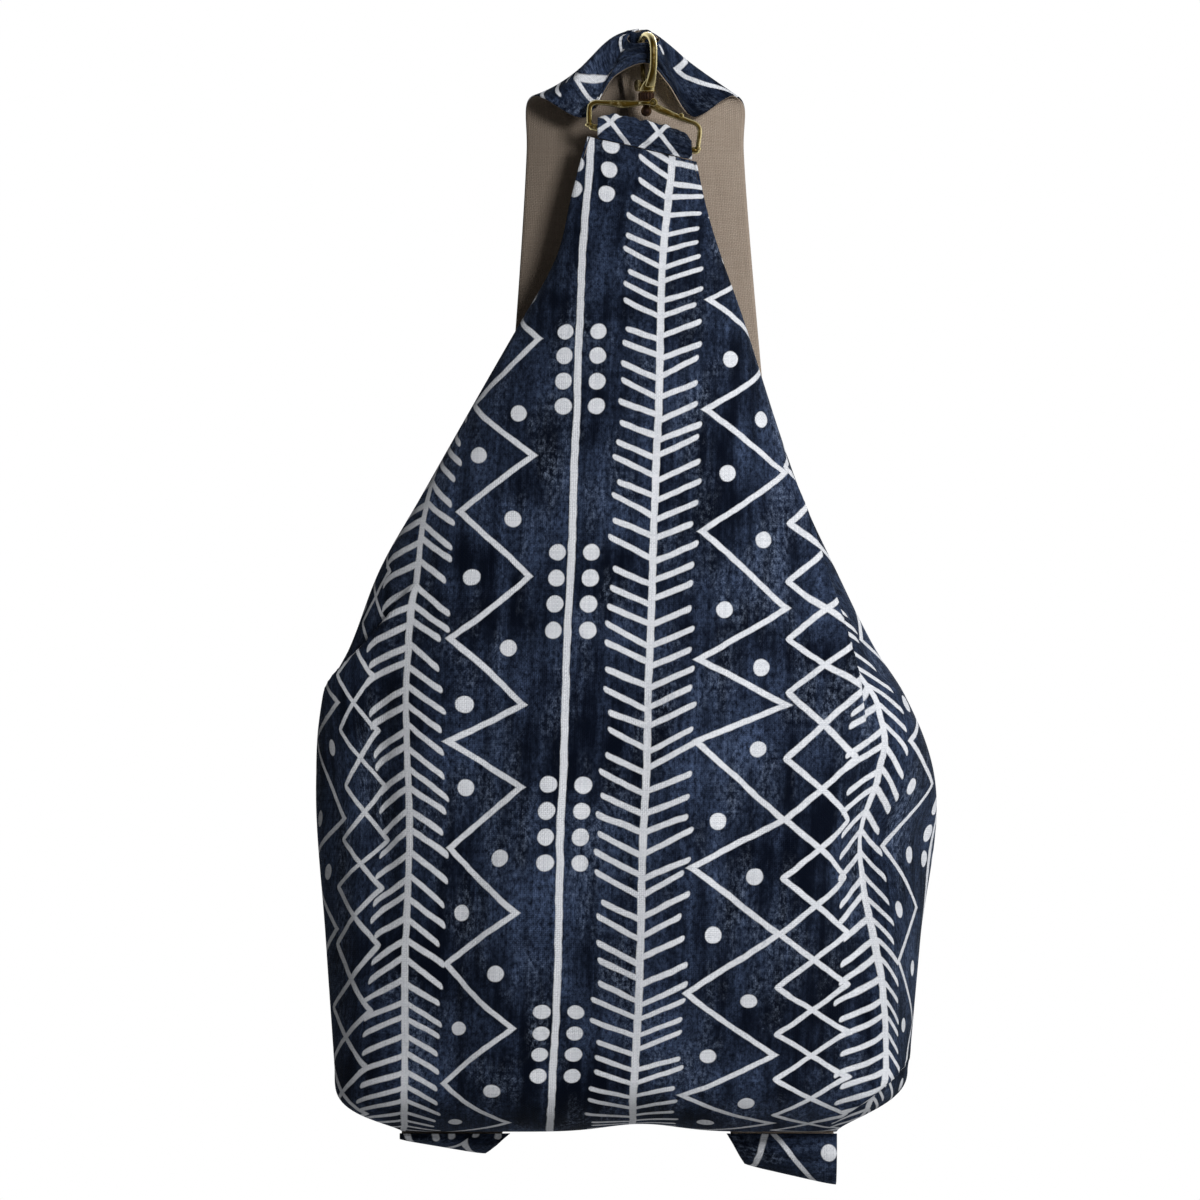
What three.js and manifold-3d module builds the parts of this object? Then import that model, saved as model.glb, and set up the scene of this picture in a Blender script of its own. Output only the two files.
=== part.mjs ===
// A soft sling backpack of printed cotton, hanging by its strap from a brass swivel clasp.
// Millimetres, +Z up. The origin is the point that the strap hangs by, and the front faces -Y.
import * as THREE from "three";
import { mergeVertices } from "three/addons/utils/BufferGeometryUtils.js";
import Module from "manifold-3d";

// Cloth
const bagWall = 1.6;
const seamGap = 0.4;
const strapLayer = 0.8;
const strapWidth = 52;
const strapClear = 9;

// Clasp
const hookAcross = 4.4;
const hookTurn = 62;
const barDiameter = 3.6;
const bowRadius = 6.4;
const bowTop = -0.4;
const noseDrop = 13;
const gateTipGap = 0.8;
const hookBaseDrop = 29;
const hookBaseRadius = 4.3;
const hookBaseHeight = 6.5;
const gatePivotRise = 3.4;
const gatePivotOut = 3.1;
const gateDiameter = 2.8;
const gateEyeRadius = 2;
const gateEyeWidth = 2.2;
const pinDiameter = 1.5;
const pinLength = 8;
const springWire = 0.6;
const springTurns = 3;
const springPitch = 0.7;
const stemDiameter = 3;
const barrelHeight = 4.2;
const barrelRadius = 3.7;
const barrelFlutes = 14;
const fluteDepth = 0.45;
const bossHeight = 3;
const bossRadius = 4.4;
const ballRadius = 2.9;
const clear = 0.3;

// The eye: its bar lies in the tab, tilted as the bag pulls it
const eyeTilt = 13;
const eyeReach = 21.9;
const eyeBarDrop = hookBaseDrop + eyeReach;
const eyeLeft = 22.4;
const eyeRight = 29.6;
const eyeBarDiameter = 3.4;
const eyeArmHeight = 5;
const eyeCornerRise = 10.5;
const eyeRightRise = 2;
const eyeBend = 2;
const footRadius = 2.5;
const footHeight = 1.1;

// Bag outline. Each level gives its drop below the hanging point, its reach to the left and
// right of the plumb line, how far the front and back stand out, and how far round the sides
// the front panel wraps, in degrees.
const neckFall = 5.1;
const neck = { drop: eyeBarDrop + neckFall, left: 24, right: 28.5, front: 0.8, back: 0.8, wrap: 0 };
const collar = { drop: 84, left: 31.5, right: 34.7, front: 6, back: 6, wrap: 20 };
const throat = { drop: 110, left: 38.5, right: 42, front: 11.5, back: 9.5, wrap: 24 };
const shoulder = { drop: 138, left: 55, right: 51, front: 18, back: 14, wrap: 26 };
const flank = { drop: 222, left: 103, right: 79, front: 40, back: 30, wrap: 26 };
const loin = { drop: 259, left: 124, right: 96, front: 48.5, back: 38.5, wrap: 26 };
const waist = { drop: 296, left: 138.5, right: 114.5, front: 56, back: 46, wrap: 26 };
const girth = { drop: 318, left: 149.5, right: 128.5, front: 59.5, back: 50, wrap: 26 };
const belly = { drop: 360, left: 153.8, right: 142.5, front: 64, back: 55.5, wrap: 26 };
const hip = { drop: 436, left: 149.7, right: 135.3, front: 62, back: 56, wrap: 26 };
const base = { drop: 498, left: 145.4, right: 130, front: 52, back: 48, wrap: 22 };

// The bottom seam. The corner powers say how long the sides keep their reach as they round in.
const bottom = { drop: 528, left: 113, right: 96 };
const leftCornerPower = 4;
const rightCornerPower = 2.5;
const cornerPower = 1.45;
const mouthDrop = 226;

// Tucks and creases in the front panel. Each runs between two places: across is measured from
// the plumb line and drop from the hanging point. Rise is how far the near layer stands proud,
// sink how deep the far side falls, and reach how wide the fold spreads.
const sideTuck = {
  fromAcross: 112,
  fromDrop: 322,
  toAcross: 72,
  toDrop: 202,
  rise: 4,
  sink: 8,
  reach: 20,
};
const flankCrease = {
  fromAcross: -112,
  fromDrop: 272,
  toAcross: -150,
  toDrop: 316,
  rise: 3,
  sink: 6,
  reach: 16,
};
const cornerCrease = {
  fromAcross: 90,
  fromDrop: 526,
  toAcross: 126,
  toDrop: 496,
  rise: 3,
  sink: 7,
  reach: 13,
};
const tucks = [sideTuck, flankCrease, cornerCrease];
const drapeDepth = 1.6;
const drapeFolds = 5;

// The tab looped over that bar
const tabWall = 1.4;
const tabEdge = 3.4;
const tabSlack = 0.4;
const tabRise = 9;
const tabEndDrop = 4.2;

// The strap, one side at a time: where its outer edge is sewn in, how far its edges hang below
// the bag, where the outer edge rises behind the bag, and the fold at the top. Peak is the top
// of the fold, tip the low end of the layer in front, gather where that layer draws together.
const strapRise = 15;
const strapFoldDepth = 8;
const leftStrap = {
  side: -1,
  seamEdge: 114,
  hangOut: 3,
  hangIn: 10,
  hipEdge: 103,
  bellyEdge: 86,
  flankEdge: 66,
  topEdge: 53.3,
  cornerOut: 49.5,
  cornerDrop: 30,
  peakOut: 1,
  peakRise: 0.3,
  foldOut: 4.5,
  tipOut: 25,
  tipDrop: 41,
  gatherOut: 10,
  gatherDrop: 22,
};
const rightStrap = {
  side: 1,
  seamEdge: 96,
  hangOut: 25,
  hangIn: 15,
  hipEdge: 90,
  bellyEdge: 79,
  flankEdge: 66,
  topEdge: 51.8,
  cornerOut: 47,
  cornerDrop: 30,
  peakOut: 2.8,
  peakRise: 0.6,
  foldOut: 10.5,
  tipOut: 27,
  tipDrop: 40.5,
  gatherOut: 15,
  gatherDrop: 25,
};
const hangStart = 0.5;
const hangEnd = 0.4;
const foldInDrop = 9;
const foldFall = 2;
const foldDraw = 5;
const bundleTop = 5.5;
const bundleBottom = 15.5;
const pleatDepth = 1.1;
const foldPleat = 0.2;
const tipPleat = 0.5;
const gatherPleat = 0.6;

// How finely the surfaces are drawn
const frontColumns = 26;
const frontRows = 27;
const backColumns = 14;
const backRows = 13;
const bottomRows = 5;
const strapColumns = 6;
const hangingSpans = 8;
const hangingRows = 2;
const foldedRows = 3;
const barSides = 8;
const armSteps = 12;
const spineSteps = 26;

const degrees = Math.PI / 180;
const wasm = await Module();
wasm.setup();

// Materials

function finish(color, roughness, metalness) {
  return new THREE.MeshStandardMaterial({ color, roughness, metalness });
}

const printedCotton = finish(0x1f2c4d, 0.9, 0);
const taupeLinen = finish(0x8a7c6e, 0.95, 0);
const antiqueBrass = finish(0x8f7436, 0.35, 1);
const darkBrass = finish(0x3a2a1e, 0.4, 1);

// Mesh helpers

function closedGeometry(points, triangles) {
  const geometry = new THREE.BufferGeometry();
  const flat = points.flatMap((p) => [p.x, p.y, p.z]);
  geometry.setAttribute("position", new THREE.Float32BufferAttribute(flat, 3));
  const volume = triangles.reduce((sum, [a, b, c]) => {
    const cross = new THREE.Vector3().crossVectors(points[b], points[c]);
    return sum + points[a].dot(cross);
  }, 0);
  const facing = volume < 0 ? triangles.map(([a, b, c]) => [a, c, b]) : triangles;
  geometry.setIndex(facing.flat());
  geometry.computeVertexNormals();
  return geometry;
}

// A thin closed solid between two grids of points with the same rows and columns.
function shellBetween(outside, inside) {
  const rows = outside.length;
  const columns = outside[0].length;
  const points = [...outside.flat(), ...inside.flat()];
  const at = (layer, r, c) => (layer * rows + r) * columns + c;
  const triangles = [];
  const quad = (a, b, c, d) => triangles.push([a, b, c], [a, c, d]);
  for (let r = 0; r + 1 < rows; r += 1) {
    for (let c = 0; c + 1 < columns; c += 1) {
      quad(at(0, r, c), at(0, r + 1, c), at(0, r + 1, c + 1), at(0, r, c + 1));
      quad(at(1, r, c), at(1, r, c + 1), at(1, r + 1, c + 1), at(1, r + 1, c));
    }
    const last = columns - 1;
    quad(at(0, r, 0), at(1, r, 0), at(1, r + 1, 0), at(0, r + 1, 0));
    quad(at(0, r, last), at(0, r + 1, last), at(1, r + 1, last), at(1, r, last));
  }
  for (let c = 0; c + 1 < columns; c += 1) {
    const last = rows - 1;
    quad(at(0, 0, c), at(0, 0, c + 1), at(1, 0, c + 1), at(1, 0, c));
    quad(at(0, last, c), at(1, last, c), at(1, last, c + 1), at(0, last, c + 1));
  }
  return closedGeometry(points, triangles);
}

// A bar swept along a curve that lies in one plane; size gives its width in that plane and its
// thickness across it at each share of the length.
function barAlong(curve, planeNormal, steps, size) {
  const points = [];
  const triangles = [];
  for (let i = 0; i <= steps; i += 1) {
    const middle = curve.getPointAt(i / steps);
    const along = curve.getTangentAt(i / steps);
    const across = new THREE.Vector3().crossVectors(planeNormal, along).normalize();
    const { wide, thick } = size(i / steps);
    for (let k = 0; k < barSides; k += 1) {
      const turn = ((k + 0.5) / barSides) * 2 * Math.PI;
      const point = middle.clone();
      point.addScaledVector(across, (Math.cos(turn) * wide) / 2);
      point.addScaledVector(planeNormal, (Math.sin(turn) * thick) / 2);
      points.push(point);
    }
  }
  for (let i = 0; i < steps; i += 1) {
    for (let k = 0; k < barSides; k += 1) {
      const a = i * barSides + k;
      const b = i * barSides + ((k + 1) % barSides);
      triangles.push([a, b, b + barSides], [a, b + barSides, a + barSides]);
    }
  }
  for (let k = 1; k + 1 < barSides; k += 1) {
    const end = steps * barSides;
    triangles.push([0, k + 1, k], [end, end + k, end + k + 1]);
  }
  return closedGeometry(points, triangles);
}

function solid(geometry) {
  const bare = geometry.clone();
  bare.deleteAttribute("normal");
  bare.deleteAttribute("uv");
  const merged = mergeVertices(bare, 1e-4);
  return new wasm.Manifold(
    new wasm.Mesh({
      numProp: 3,
      vertProperties: merged.attributes.position.array,
      triVerts: new Uint32Array(merged.index.array),
    }),
  );
}

function geometryOf(manifold) {
  const made = manifold.getMesh();
  const geometry = new THREE.BufferGeometry();
  geometry.setAttribute("position", new THREE.BufferAttribute(made.vertProperties, 3));
  geometry.setIndex(new THREE.BufferAttribute(made.triVerts, 1));
  geometry.computeVertexNormals();
  return geometry;
}

// A turned piece with its axis along Z; profile is a list of [radius, height].
function turned(profile, segments) {
  const points = profile.map(([r, h]) => new THREE.Vector2(r, h));
  return new THREE.LatheGeometry(points, segments).rotateX(Math.PI / 2);
}

function rod(radius, length, segments = 12) {
  const half = length / 2;
  return turned([[0, -half], [radius, -half], [radius, half], [0, half]], segments);
}

function named(name, geometry, material) {
  const mesh = new THREE.Mesh(geometry, material);
  mesh.name = name;
  return mesh;
}

// Bag

const levels = [neck, collar, throat, shoulder, flank, loin, waist, girth, belly, hip, base];
const levelDrops = levels.map((level) => level.drop);
const outline = new THREE.CubicInterpolant(
  levelDrops,
  levels.flatMap((level) => [level.left, level.right, level.front, level.back, level.wrap]),
  5,
);

// One ring of the bag. Above the base, share runs down the side; below it, turn rounds the
// bottom into the seam. The inside surface is the same ring drawn in by the wall.
function sideRing(drop, inset) {
  const [left, right, front, back, wrap] = outline.evaluate(drop);
  return {
    drop,
    left: left - inset,
    right: right - inset,
    front: front - inset,
    back: back - inset,
    wrap,
  };
}

function bottomRing(turn, inset) {
  const shrink = Math.cos(turn);
  const leftCorner = (1 - Math.sin(turn) ** leftCornerPower) ** cornerPower;
  const rightCorner = (1 - Math.sin(turn) ** rightCornerPower) ** cornerPower;
  return {
    drop: base.drop + (bottom.drop - base.drop - inset) * Math.sin(turn),
    left: THREE.MathUtils.lerp(bottom.left, base.left - inset, leftCorner),
    right: THREE.MathUtils.lerp(bottom.right, base.right - inset, rightCorner),
    front: (base.front - inset) * shrink,
    back: (base.back - inset) * shrink,
    wrap: base.wrap * shrink,
  };
}

function ringPoint(ring, angle) {
  const across = Math.cos(angle);
  const out = Math.sin(angle);
  const x = across * (across < 0 ? ring.left : ring.right);
  const y = out * (out < 0 ? ring.front : ring.back);
  return new THREE.Vector3(x, y, -ring.drop);
}

// How far a fold moves the cloth outwards at a point of the front.
function foldAt(x, drop) {
  return tucks.reduce((sum, { fromAcross, fromDrop, toAcross, toDrop, rise, sink, reach }) => {
    const run = new THREE.Vector2(toAcross - fromAcross, toDrop - fromDrop);
    const spot = new THREE.Vector2(x - fromAcross, drop - fromDrop);
    const share = spot.dot(run) / run.lengthSq();
    const off = run.cross(spot) / run.length();
    const ends = THREE.MathUtils.smoothstep(share, -0.25, 0.2);
    const fade = ends * (1 - THREE.MathUtils.smoothstep(share, 0.85, 1.25));
    const near = rise * Math.exp(-((off / reach) ** 2));
    const far = (rise + sink) * Math.exp(-Math.max(off, 0) / reach);
    const step = THREE.MathUtils.smoothstep(off, -reach / 5, reach / 5);
    return sum + fade * (near - step * far);
  }, 0);
}

function drapeAt(x, drop) {
  const swell = THREE.MathUtils.smoothstep(drop, shoulder.drop, belly.drop);
  return drapeDepth * swell * Math.sin((x / belly.left) * drapeFolds * Math.PI + drop / belly.front);
}

// The neck's top edge follows the tilt of the eye.
function neckSlope(x, drop) {
  const hold = 1 - THREE.MathUtils.smoothstep(drop, neck.drop, shoulder.drop);
  return -Math.tan(eyeTilt * degrees) * x * hold;
}

function bagGrid(rings, angles, inset, folded) {
  return rings.map((ringAt) => {
    const outer = ringAt(0);
    const ring = ringAt(inset);
    return angles(outer).map((angle) => {
      const skin = ringPoint(outer, angle);
      const point = ringPoint(ring, angle);
      const out = new THREE.Vector2(
        Math.cos(angle) * outer.front,
        Math.sin(angle) * outer.left,
      ).normalize();
      const swell = Math.min(1, outer.front / belly.front);
      const frontness = THREE.MathUtils.smoothstep(-Math.sin(angle), -0.1, 0.25);
      const fold = folded(skin.x, outer.drop) * swell * frontness;
      point.x += out.x * fold;
      point.y += out.y * fold;
      point.z += neckSlope(point.x, outer.drop);
      return point;
    });
  });
}

function ringsBetween(top, rows) {
  const seamTurn = Math.acos(seamGap / 2 / base.front);
  const rings = [];
  for (let r = 0; r <= rows; r += 1) {
    const drop = THREE.MathUtils.lerp(top, base.drop, r / rows);
    rings.push((inset) => sideRing(drop, inset));
  }
  for (let r = 1; r <= bottomRows; r += 1) {
    const turn = (r / bottomRows) * seamTurn;
    rings.push((inset) => bottomRing(turn, inset));
  }
  return rings;
}

function frontAngles(ring) {
  const wrap = ring.wrap * degrees;
  const steps = Array.from({ length: frontColumns + 1 }, (_, c) => c / frontColumns);
  return steps.map((share) => THREE.MathUtils.lerp(Math.PI - wrap, 2 * Math.PI + wrap, share));
}

function backAngles(ring) {
  const wrap = ring.wrap * degrees;
  const steps = Array.from({ length: backColumns + 1 }, (_, c) => c / backColumns);
  return steps.map((share) => THREE.MathUtils.lerp(Math.PI - wrap, wrap, share));
}

function frontPanel() {
  const rings = ringsBetween(neck.drop, frontRows);
  const folded = (x, drop) => foldAt(x, drop) + drapeAt(x, drop);
  const outside = bagGrid(rings, frontAngles, 0, folded);
  const inside = bagGrid(rings, frontAngles, bagWall, folded);
  return named("front_panel", shellBetween(outside, inside), printedCotton);
}

function backPanel() {
  const rings = ringsBetween(mouthDrop, backRows);
  const flat = () => 0;
  const outside = bagGrid(rings, backAngles, 0, flat);
  const inside = bagGrid(rings, backAngles, bagWall, flat);
  const geometry = shellBetween(outside, inside).translate(0, seamGap, 0);
  return named("back_panel", geometry, printedCotton);
}

// Strap

function backReach(drop) {
  return outline.evaluate(Math.min(drop, base.drop))[3];
}

// Stations from the bottom seam to the bow: the outer and inner edge of the strap at each.
function strapStations(sizes) {
  const { side, seamEdge, hangOut, hangIn, topEdge, cornerOut, cornerDrop, foldOut } = sizes;
  const seamDrop = bottom.drop + strapLayer + seamGap;
  const spread = (outer, inner, pleat) => ({
    outer: new THREE.Vector3(side * outer[0], outer[1], -outer[2]),
    inner: new THREE.Vector3(side * inner[0], inner[1], -inner[2]),
    pleat,
  });
  const lying = (edge, y, drop) => spread([edge, y, drop], [edge - strapWidth, y, drop], 0);
  const hanging = (y, share) => {
    const outer = [seamEdge, y, seamDrop + hangOut * share];
    return spread(outer, [seamEdge - strapWidth, y, seamDrop + hangIn * share], 0);
  };
  const behind = (edge, level) => lying(edge, backReach(level.drop) + strapClear, level.drop);
  const front = strapRise - strapFoldDepth;
  const crest = strapRise - strapFoldDepth / 2;
  const edgeDrop = cornerDrop + foldFall;
  const foldDrop = bundleTop / 2;
  return [
    hanging(strapLayer + seamGap, 0),
    hanging(strapLayer * 2, hangStart),
    hanging(base.back / 4, 1),
    hanging((base.back * 3) / 4, hangEnd),
    lying(seamEdge - 1, base.back + strapClear, base.drop + strapClear),
    behind(sizes.hipEdge, hip),
    behind(sizes.bellyEdge, belly),
    behind(sizes.flankEdge, flank),
    lying(topEdge, strapRise, cornerDrop + strapWidth / 2),
    spread([topEdge, strapRise, edgeDrop + foldFall], [topEdge - strapWidth, strapRise, foldInDrop], 0),
    spread([cornerOut, crest, cornerDrop], [sizes.peakOut, crest, -sizes.peakRise], 0),
    spread([cornerOut - foldDraw, front, edgeDrop], [foldOut, front, foldDrop], foldPleat),
    spread([sizes.tipOut, front, sizes.tipDrop], [foldOut, front - 1, foldDrop + 1], tipPleat),
    spread(
      [sizes.gatherOut, front / 3, sizes.gatherDrop],
      [foldOut - foldFall, front / 3, bundleTop],
      gatherPleat,
    ),
  ];
}

function bundleStation() {
  const lean = (barDiameter / 2 + clear) * 0.6;
  const x = hookAcross + Math.cos(hookTurn * degrees) * lean;
  const y = -Math.sin(hookTurn * degrees) * lean;
  return {
    outer: new THREE.Vector3(x, y, -bundleBottom),
    inner: new THREE.Vector3(x, y, -bundleTop),
    pleat: 1,
  };
}

// The strap's middle surface, from the left seam through the bow to the right seam.
function strapGrid() {
  const left = strapStations(leftStrap);
  const right = strapStations(rightStrap).reverse();
  const stations = [...left, bundleStation(), ...right];
  const outerEdge = new THREE.CatmullRomCurve3(stations.map((s) => s.outer));
  const innerEdge = new THREE.CatmullRomCurve3(stations.map((s) => s.inner));
  const spans = stations.length - 1;
  const middle = [];
  for (let span = 0; span < spans; span += 1) {
    const folded = Math.min(span, spans - 1 - span) >= hangingSpans;
    const rows = folded ? foldedRows : hangingRows;
    const last = span === spans - 1 ? rows : rows - 1;
    for (let r = 0; r <= last; r += 1) {
      const within = r / rows;
      const share = (span + within) / spans;
      const pleat = THREE.MathUtils.lerp(stations[span].pleat, stations[span + 1].pleat, within);
      const outer = outerEdge.getPoint(share);
      const inner = innerEdge.getPoint(share);
      const row = [];
      for (let c = 0; c <= strapColumns; c += 1) {
        const point = outer.clone().lerp(inner, c / strapColumns);
        point.y += (c % 2 ? 1 : -1) * pleatDepth * pleat;
        row.push(point);
      }
      middle.push(row);
    }
  }
  return middle;
}

function gridNormal(grid, r, c) {
  const clamp = (i, count) => THREE.MathUtils.clamp(i, 0, count - 1);
  const pick = (i, j) => grid[clamp(i, grid.length)][clamp(j, grid[0].length)];
  const down = pick(r + 1, c).clone().sub(pick(r - 1, c));
  const over = pick(r, c + 1).clone().sub(pick(r, c - 1));
  return down.cross(over).normalize();
}

function offsetGrid(grid, distance) {
  return grid.map((row, r) =>
    row.map((point, c) => point.clone().addScaledVector(gridNormal(grid, r, c), distance)),
  );
}

function strapLayers() {
  const middle = strapGrid();
  const near = seamGap / 2;
  const far = near + strapLayer;
  const face = shellBetween(offsetGrid(middle, far), offsetGrid(middle, near));
  const lining = shellBetween(offsetGrid(middle, -near), offsetGrid(middle, -far));
  return [named("strap_face", face, printedCotton), named("strap_lining", lining, taupeLinen)];
}

// Eye and tab

const eyeSlope = Math.tan(eyeTilt * degrees);
const bossTop = -(hookBaseDrop + clear + barrelHeight + clear);
const bossMiddle = bossTop - bossHeight / 2;
const eyeNormal = new THREE.Vector3(0, 1, 0);

function eyeBarHeight(x) {
  return -eyeBarDrop - eyeSlope * x;
}

function eyeFrame() {
  const at = (x, z) => new THREE.Vector3(x, 0, z);
  const leftCorner = eyeBarHeight(-eyeLeft) + eyeCornerRise;
  const rightCorner = eyeBarHeight(eyeRight) + eyeCornerRise + eyeRightRise;
  const rim = bossRadius - clear;
  const leftArm = new THREE.CatmullRomCurve3([
    at(hookAcross - rim, bossMiddle),
    at(hookAcross - rim * 2.2, bossMiddle - 1.2),
    at(-eyeLeft * 0.5, bossMiddle - 0.4),
    at(-eyeLeft + eyeBend, leftCorner),
    at(-eyeLeft, leftCorner - eyeBend),
    at(-eyeLeft - 0.3, eyeBarHeight(-eyeLeft)),
  ]);
  const rightArm = new THREE.CatmullRomCurve3([
    at(hookAcross + rim, bossMiddle),
    at(hookAcross + rim * 1.8, bossMiddle - 2),
    at(eyeRight * 0.65, (bossMiddle + rightCorner) / 2 - 1.5),
    at(eyeRight - eyeBend, rightCorner),
    at(eyeRight, rightCorner - eyeBend),
    at(eyeRight - 0.3, eyeBarHeight(eyeRight)),
  ]);
  const armSize = (share) => {
    const swell = 1 - THREE.MathUtils.smoothstep(share, 0, 0.45);
    return { wide: eyeBarDiameter + (eyeArmHeight - eyeBarDiameter) * swell, thick: eyeBarDiameter };
  };
  const barEnds = [at(-eyeLeft - 1, eyeBarHeight(-eyeLeft)), at(eyeRight + 1, eyeBarHeight(eyeRight))];
  const bar = new THREE.LineCurve3(...barEnds);
  const evenSize = () => ({ wide: eyeBarDiameter, thick: eyeBarDiameter });
  const boss = rod(bossRadius, bossHeight, 16).translate(hookAcross, 0, bossMiddle);
  let made = solid(boss);
  made = made.add(solid(barAlong(leftArm, eyeNormal, armSteps, armSize)));
  made = made.add(solid(barAlong(rightArm, eyeNormal, armSteps, armSize)));
  made = made.add(solid(barAlong(bar, eyeNormal, 1, evenSize)));
  for (const x of [-eyeLeft - 0.3, eyeRight - 0.3]) {
    const foot = rod(footRadius, footHeight).translate(x, 0, eyeBarHeight(x) + eyeBarDiameter * 0.8);
    made = made.add(solid(foot));
  }
  const bore = rod(stemDiameter / 2 + clear, bossHeight * 2).translate(hookAcross, 0, bossMiddle);
  return named("eye_frame", geometryOf(made.subtract(solid(bore))), antiqueBrass);
}

// The tab's section: down the front, over the bar and down the back. Inset 0 is the outside.
function tabSection(inset, rise) {
  const loop = eyeBarDiameter / 2 + tabSlack + tabWall - inset;
  const foot = tabWall + seamGap / 2 - inset;
  const seam = -(neck.drop - seamGap - eyeBarDrop);
  const points = [[-foot, seam], [-(foot + loop) / 2, seam / 2]];
  const arcSteps = 8;
  for (let i = 0; i <= arcSteps; i += 1) {
    const turn = Math.PI * (1 - i / arcSteps);
    points.push([loop * Math.cos(turn), (rise - inset) * Math.sin(turn)]);
  }
  points.push([(foot + loop) / 2, seam / 2], [foot, seam]);
  return points;
}

function neckTab() {
  const steps = 8;
  const grid = (inset) => {
    const rows = [];
    for (let i = 0; i <= steps; i += 1) {
      const x = THREE.MathUtils.lerp(-eyeLeft + tabEdge, eyeRight - tabEdge, i / steps);
      const middle = eyeBarHeight(x);
      const rise = tabRise - tabEndDrop * ((2 * i) / steps - 1) ** 4;
      rows.push(tabSection(inset, rise).map(([y, h]) => new THREE.Vector3(x, y, middle + h)));
    }
    return rows;
  };
  return named("neck_tab", shellBetween(grid(0), grid(tabWall)), printedCotton);
}

// Hook, drawn in its own plane: across is X, the stem is the Z axis, its normal is Y

const hookNormal = new THREE.Vector3(0, 1, 0);
const gatePivotDrop = hookBaseDrop - gatePivotRise;
const springLength = springTurns * springPitch;
const springRoom = springLength + springWire + clear;
const hookBaseTop = -hookBaseDrop + hookBaseHeight;

function gateHole(radius, length) {
  return rod(radius, length).rotateX(Math.PI / 2).translate(-gatePivotOut, 0, -gatePivotDrop);
}

function gateRoom() {
  const width = gateEyeWidth + springRoom + clear * 2;
  const room = gateEyeRadius + clear;
  const block = new THREE.BoxGeometry(room * 2 + hookBaseRadius, width, hookBaseHeight * 2);
  const right = -gatePivotOut + room;
  const middle = right - (room * 2 + hookBaseRadius) / 2;
  return block.translate(middle, 0, -gatePivotDrop - room + hookBaseHeight);
}

function hookBody() {
  const at = (x, z) => new THREE.Vector3(x, 0, z);
  const arcTop = bowTop - barDiameter / 2;
  const arcMiddle = arcTop - bowRadius;
  const bend = (turn) => at(bowRadius * Math.cos(turn), arcMiddle + bowRadius * Math.sin(turn));
  const arc = [0, 0.25, 0.5, 0.75, 1].map((share) => bend(share * Math.PI));
  const spine = new THREE.CatmullRomCurve3([
    at(0.6, -hookBaseDrop + hookBaseHeight * 0.4),
    at(2.6, hookBaseTop - 0.5),
    at(bowRadius - 0.6, hookBaseTop + 4.5),
    at(bowRadius, (arcMiddle + hookBaseTop) / 2),
    ...arc,
    at(-bowRadius, -noseDrop),
  ]);
  const size = (share) => {
    const root = 1 - THREE.MathUtils.smoothstep(share, 0.04, 0.3);
    return { wide: barDiameter * (1 + 0.5 * root), thick: barDiameter };
  };
  const r = hookBaseRadius;
  const profile = [
    [0, -hookBaseDrop],
    [r * 0.8, -hookBaseDrop],
    [r, -hookBaseDrop + 1],
    [r, hookBaseTop - 2],
    [r * 0.75, hookBaseTop],
    [0, hookBaseTop],
  ];
  const made = solid(turned(profile, 16))
    .add(solid(barAlong(spine, hookNormal, spineSteps, size)))
    .subtract(solid(gateRoom()))
    .subtract(solid(gateHole(pinDiameter / 2 + clear, hookBaseRadius * 4)))
    .subtract(solid(stemSocket()));
  return named("hook_body", geometryOf(made), antiqueBrass);
}

const stemReach = 1;

function stemSocket() {
  const depth = stemReach + clear;
  return rod(stemDiameter / 2 + clear, depth * 2).translate(0, 0, -hookBaseDrop);
}

function gate() {
  const root = new THREE.Vector3(-gatePivotOut, 0, -gatePivotDrop);
  const tip = new THREE.Vector3(-bowRadius, 0, -noseDrop - gateTipGap);
  const way = new THREE.QuadraticBezierCurve3(
    root,
    new THREE.Vector3(-bowRadius, 0, root.z + gateEyeRadius * 2),
    tip,
  );
  const size = () => ({ wide: gateDiameter, thick: gateEyeWidth });
  const eye = gateHole(gateEyeRadius, gateEyeWidth);
  const made = solid(barAlong(way, hookNormal, 8, size))
    .add(solid(eye))
    .subtract(solid(gateHole(pinDiameter / 2 + clear, gateEyeWidth * 2)));
  const mesh = named("gate", geometryOf(made), antiqueBrass);
  mesh.position.y = gateShift();
  return mesh;
}

// The gate's eye and its spring share the slot side by side.
function gateShift() {
  return springRoom / 2;
}

function gatePin() {
  return named("gate_pin", gateHole(pinDiameter / 2, pinLength), darkBrass);
}

class Coil extends THREE.Curve {
  getPoint(share, target = new THREE.Vector3()) {
    const turn = share * springTurns * 2 * Math.PI;
    const radius = pinDiameter / 2 + springWire / 2 + clear;
    const along = share * springLength;
    return target.set(Math.cos(turn) * radius, along, Math.sin(turn) * radius);
  }
}

function gateSpring() {
  const wire = new THREE.Shape().absarc(0, 0, springWire / 2, 0, 2 * Math.PI);
  const geometry = new THREE.ExtrudeGeometry(wire, {
    extrudePath: new Coil(),
    steps: springTurns * 8,
    curveSegments: 5,
  });
  const eyeFace = gateShift() - gateEyeWidth / 2;
  geometry.translate(-gatePivotOut, eyeFace - clear - springWire / 2 - springLength, -gatePivotDrop);
  return named("gate_spring", geometry, darkBrass);
}

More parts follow.
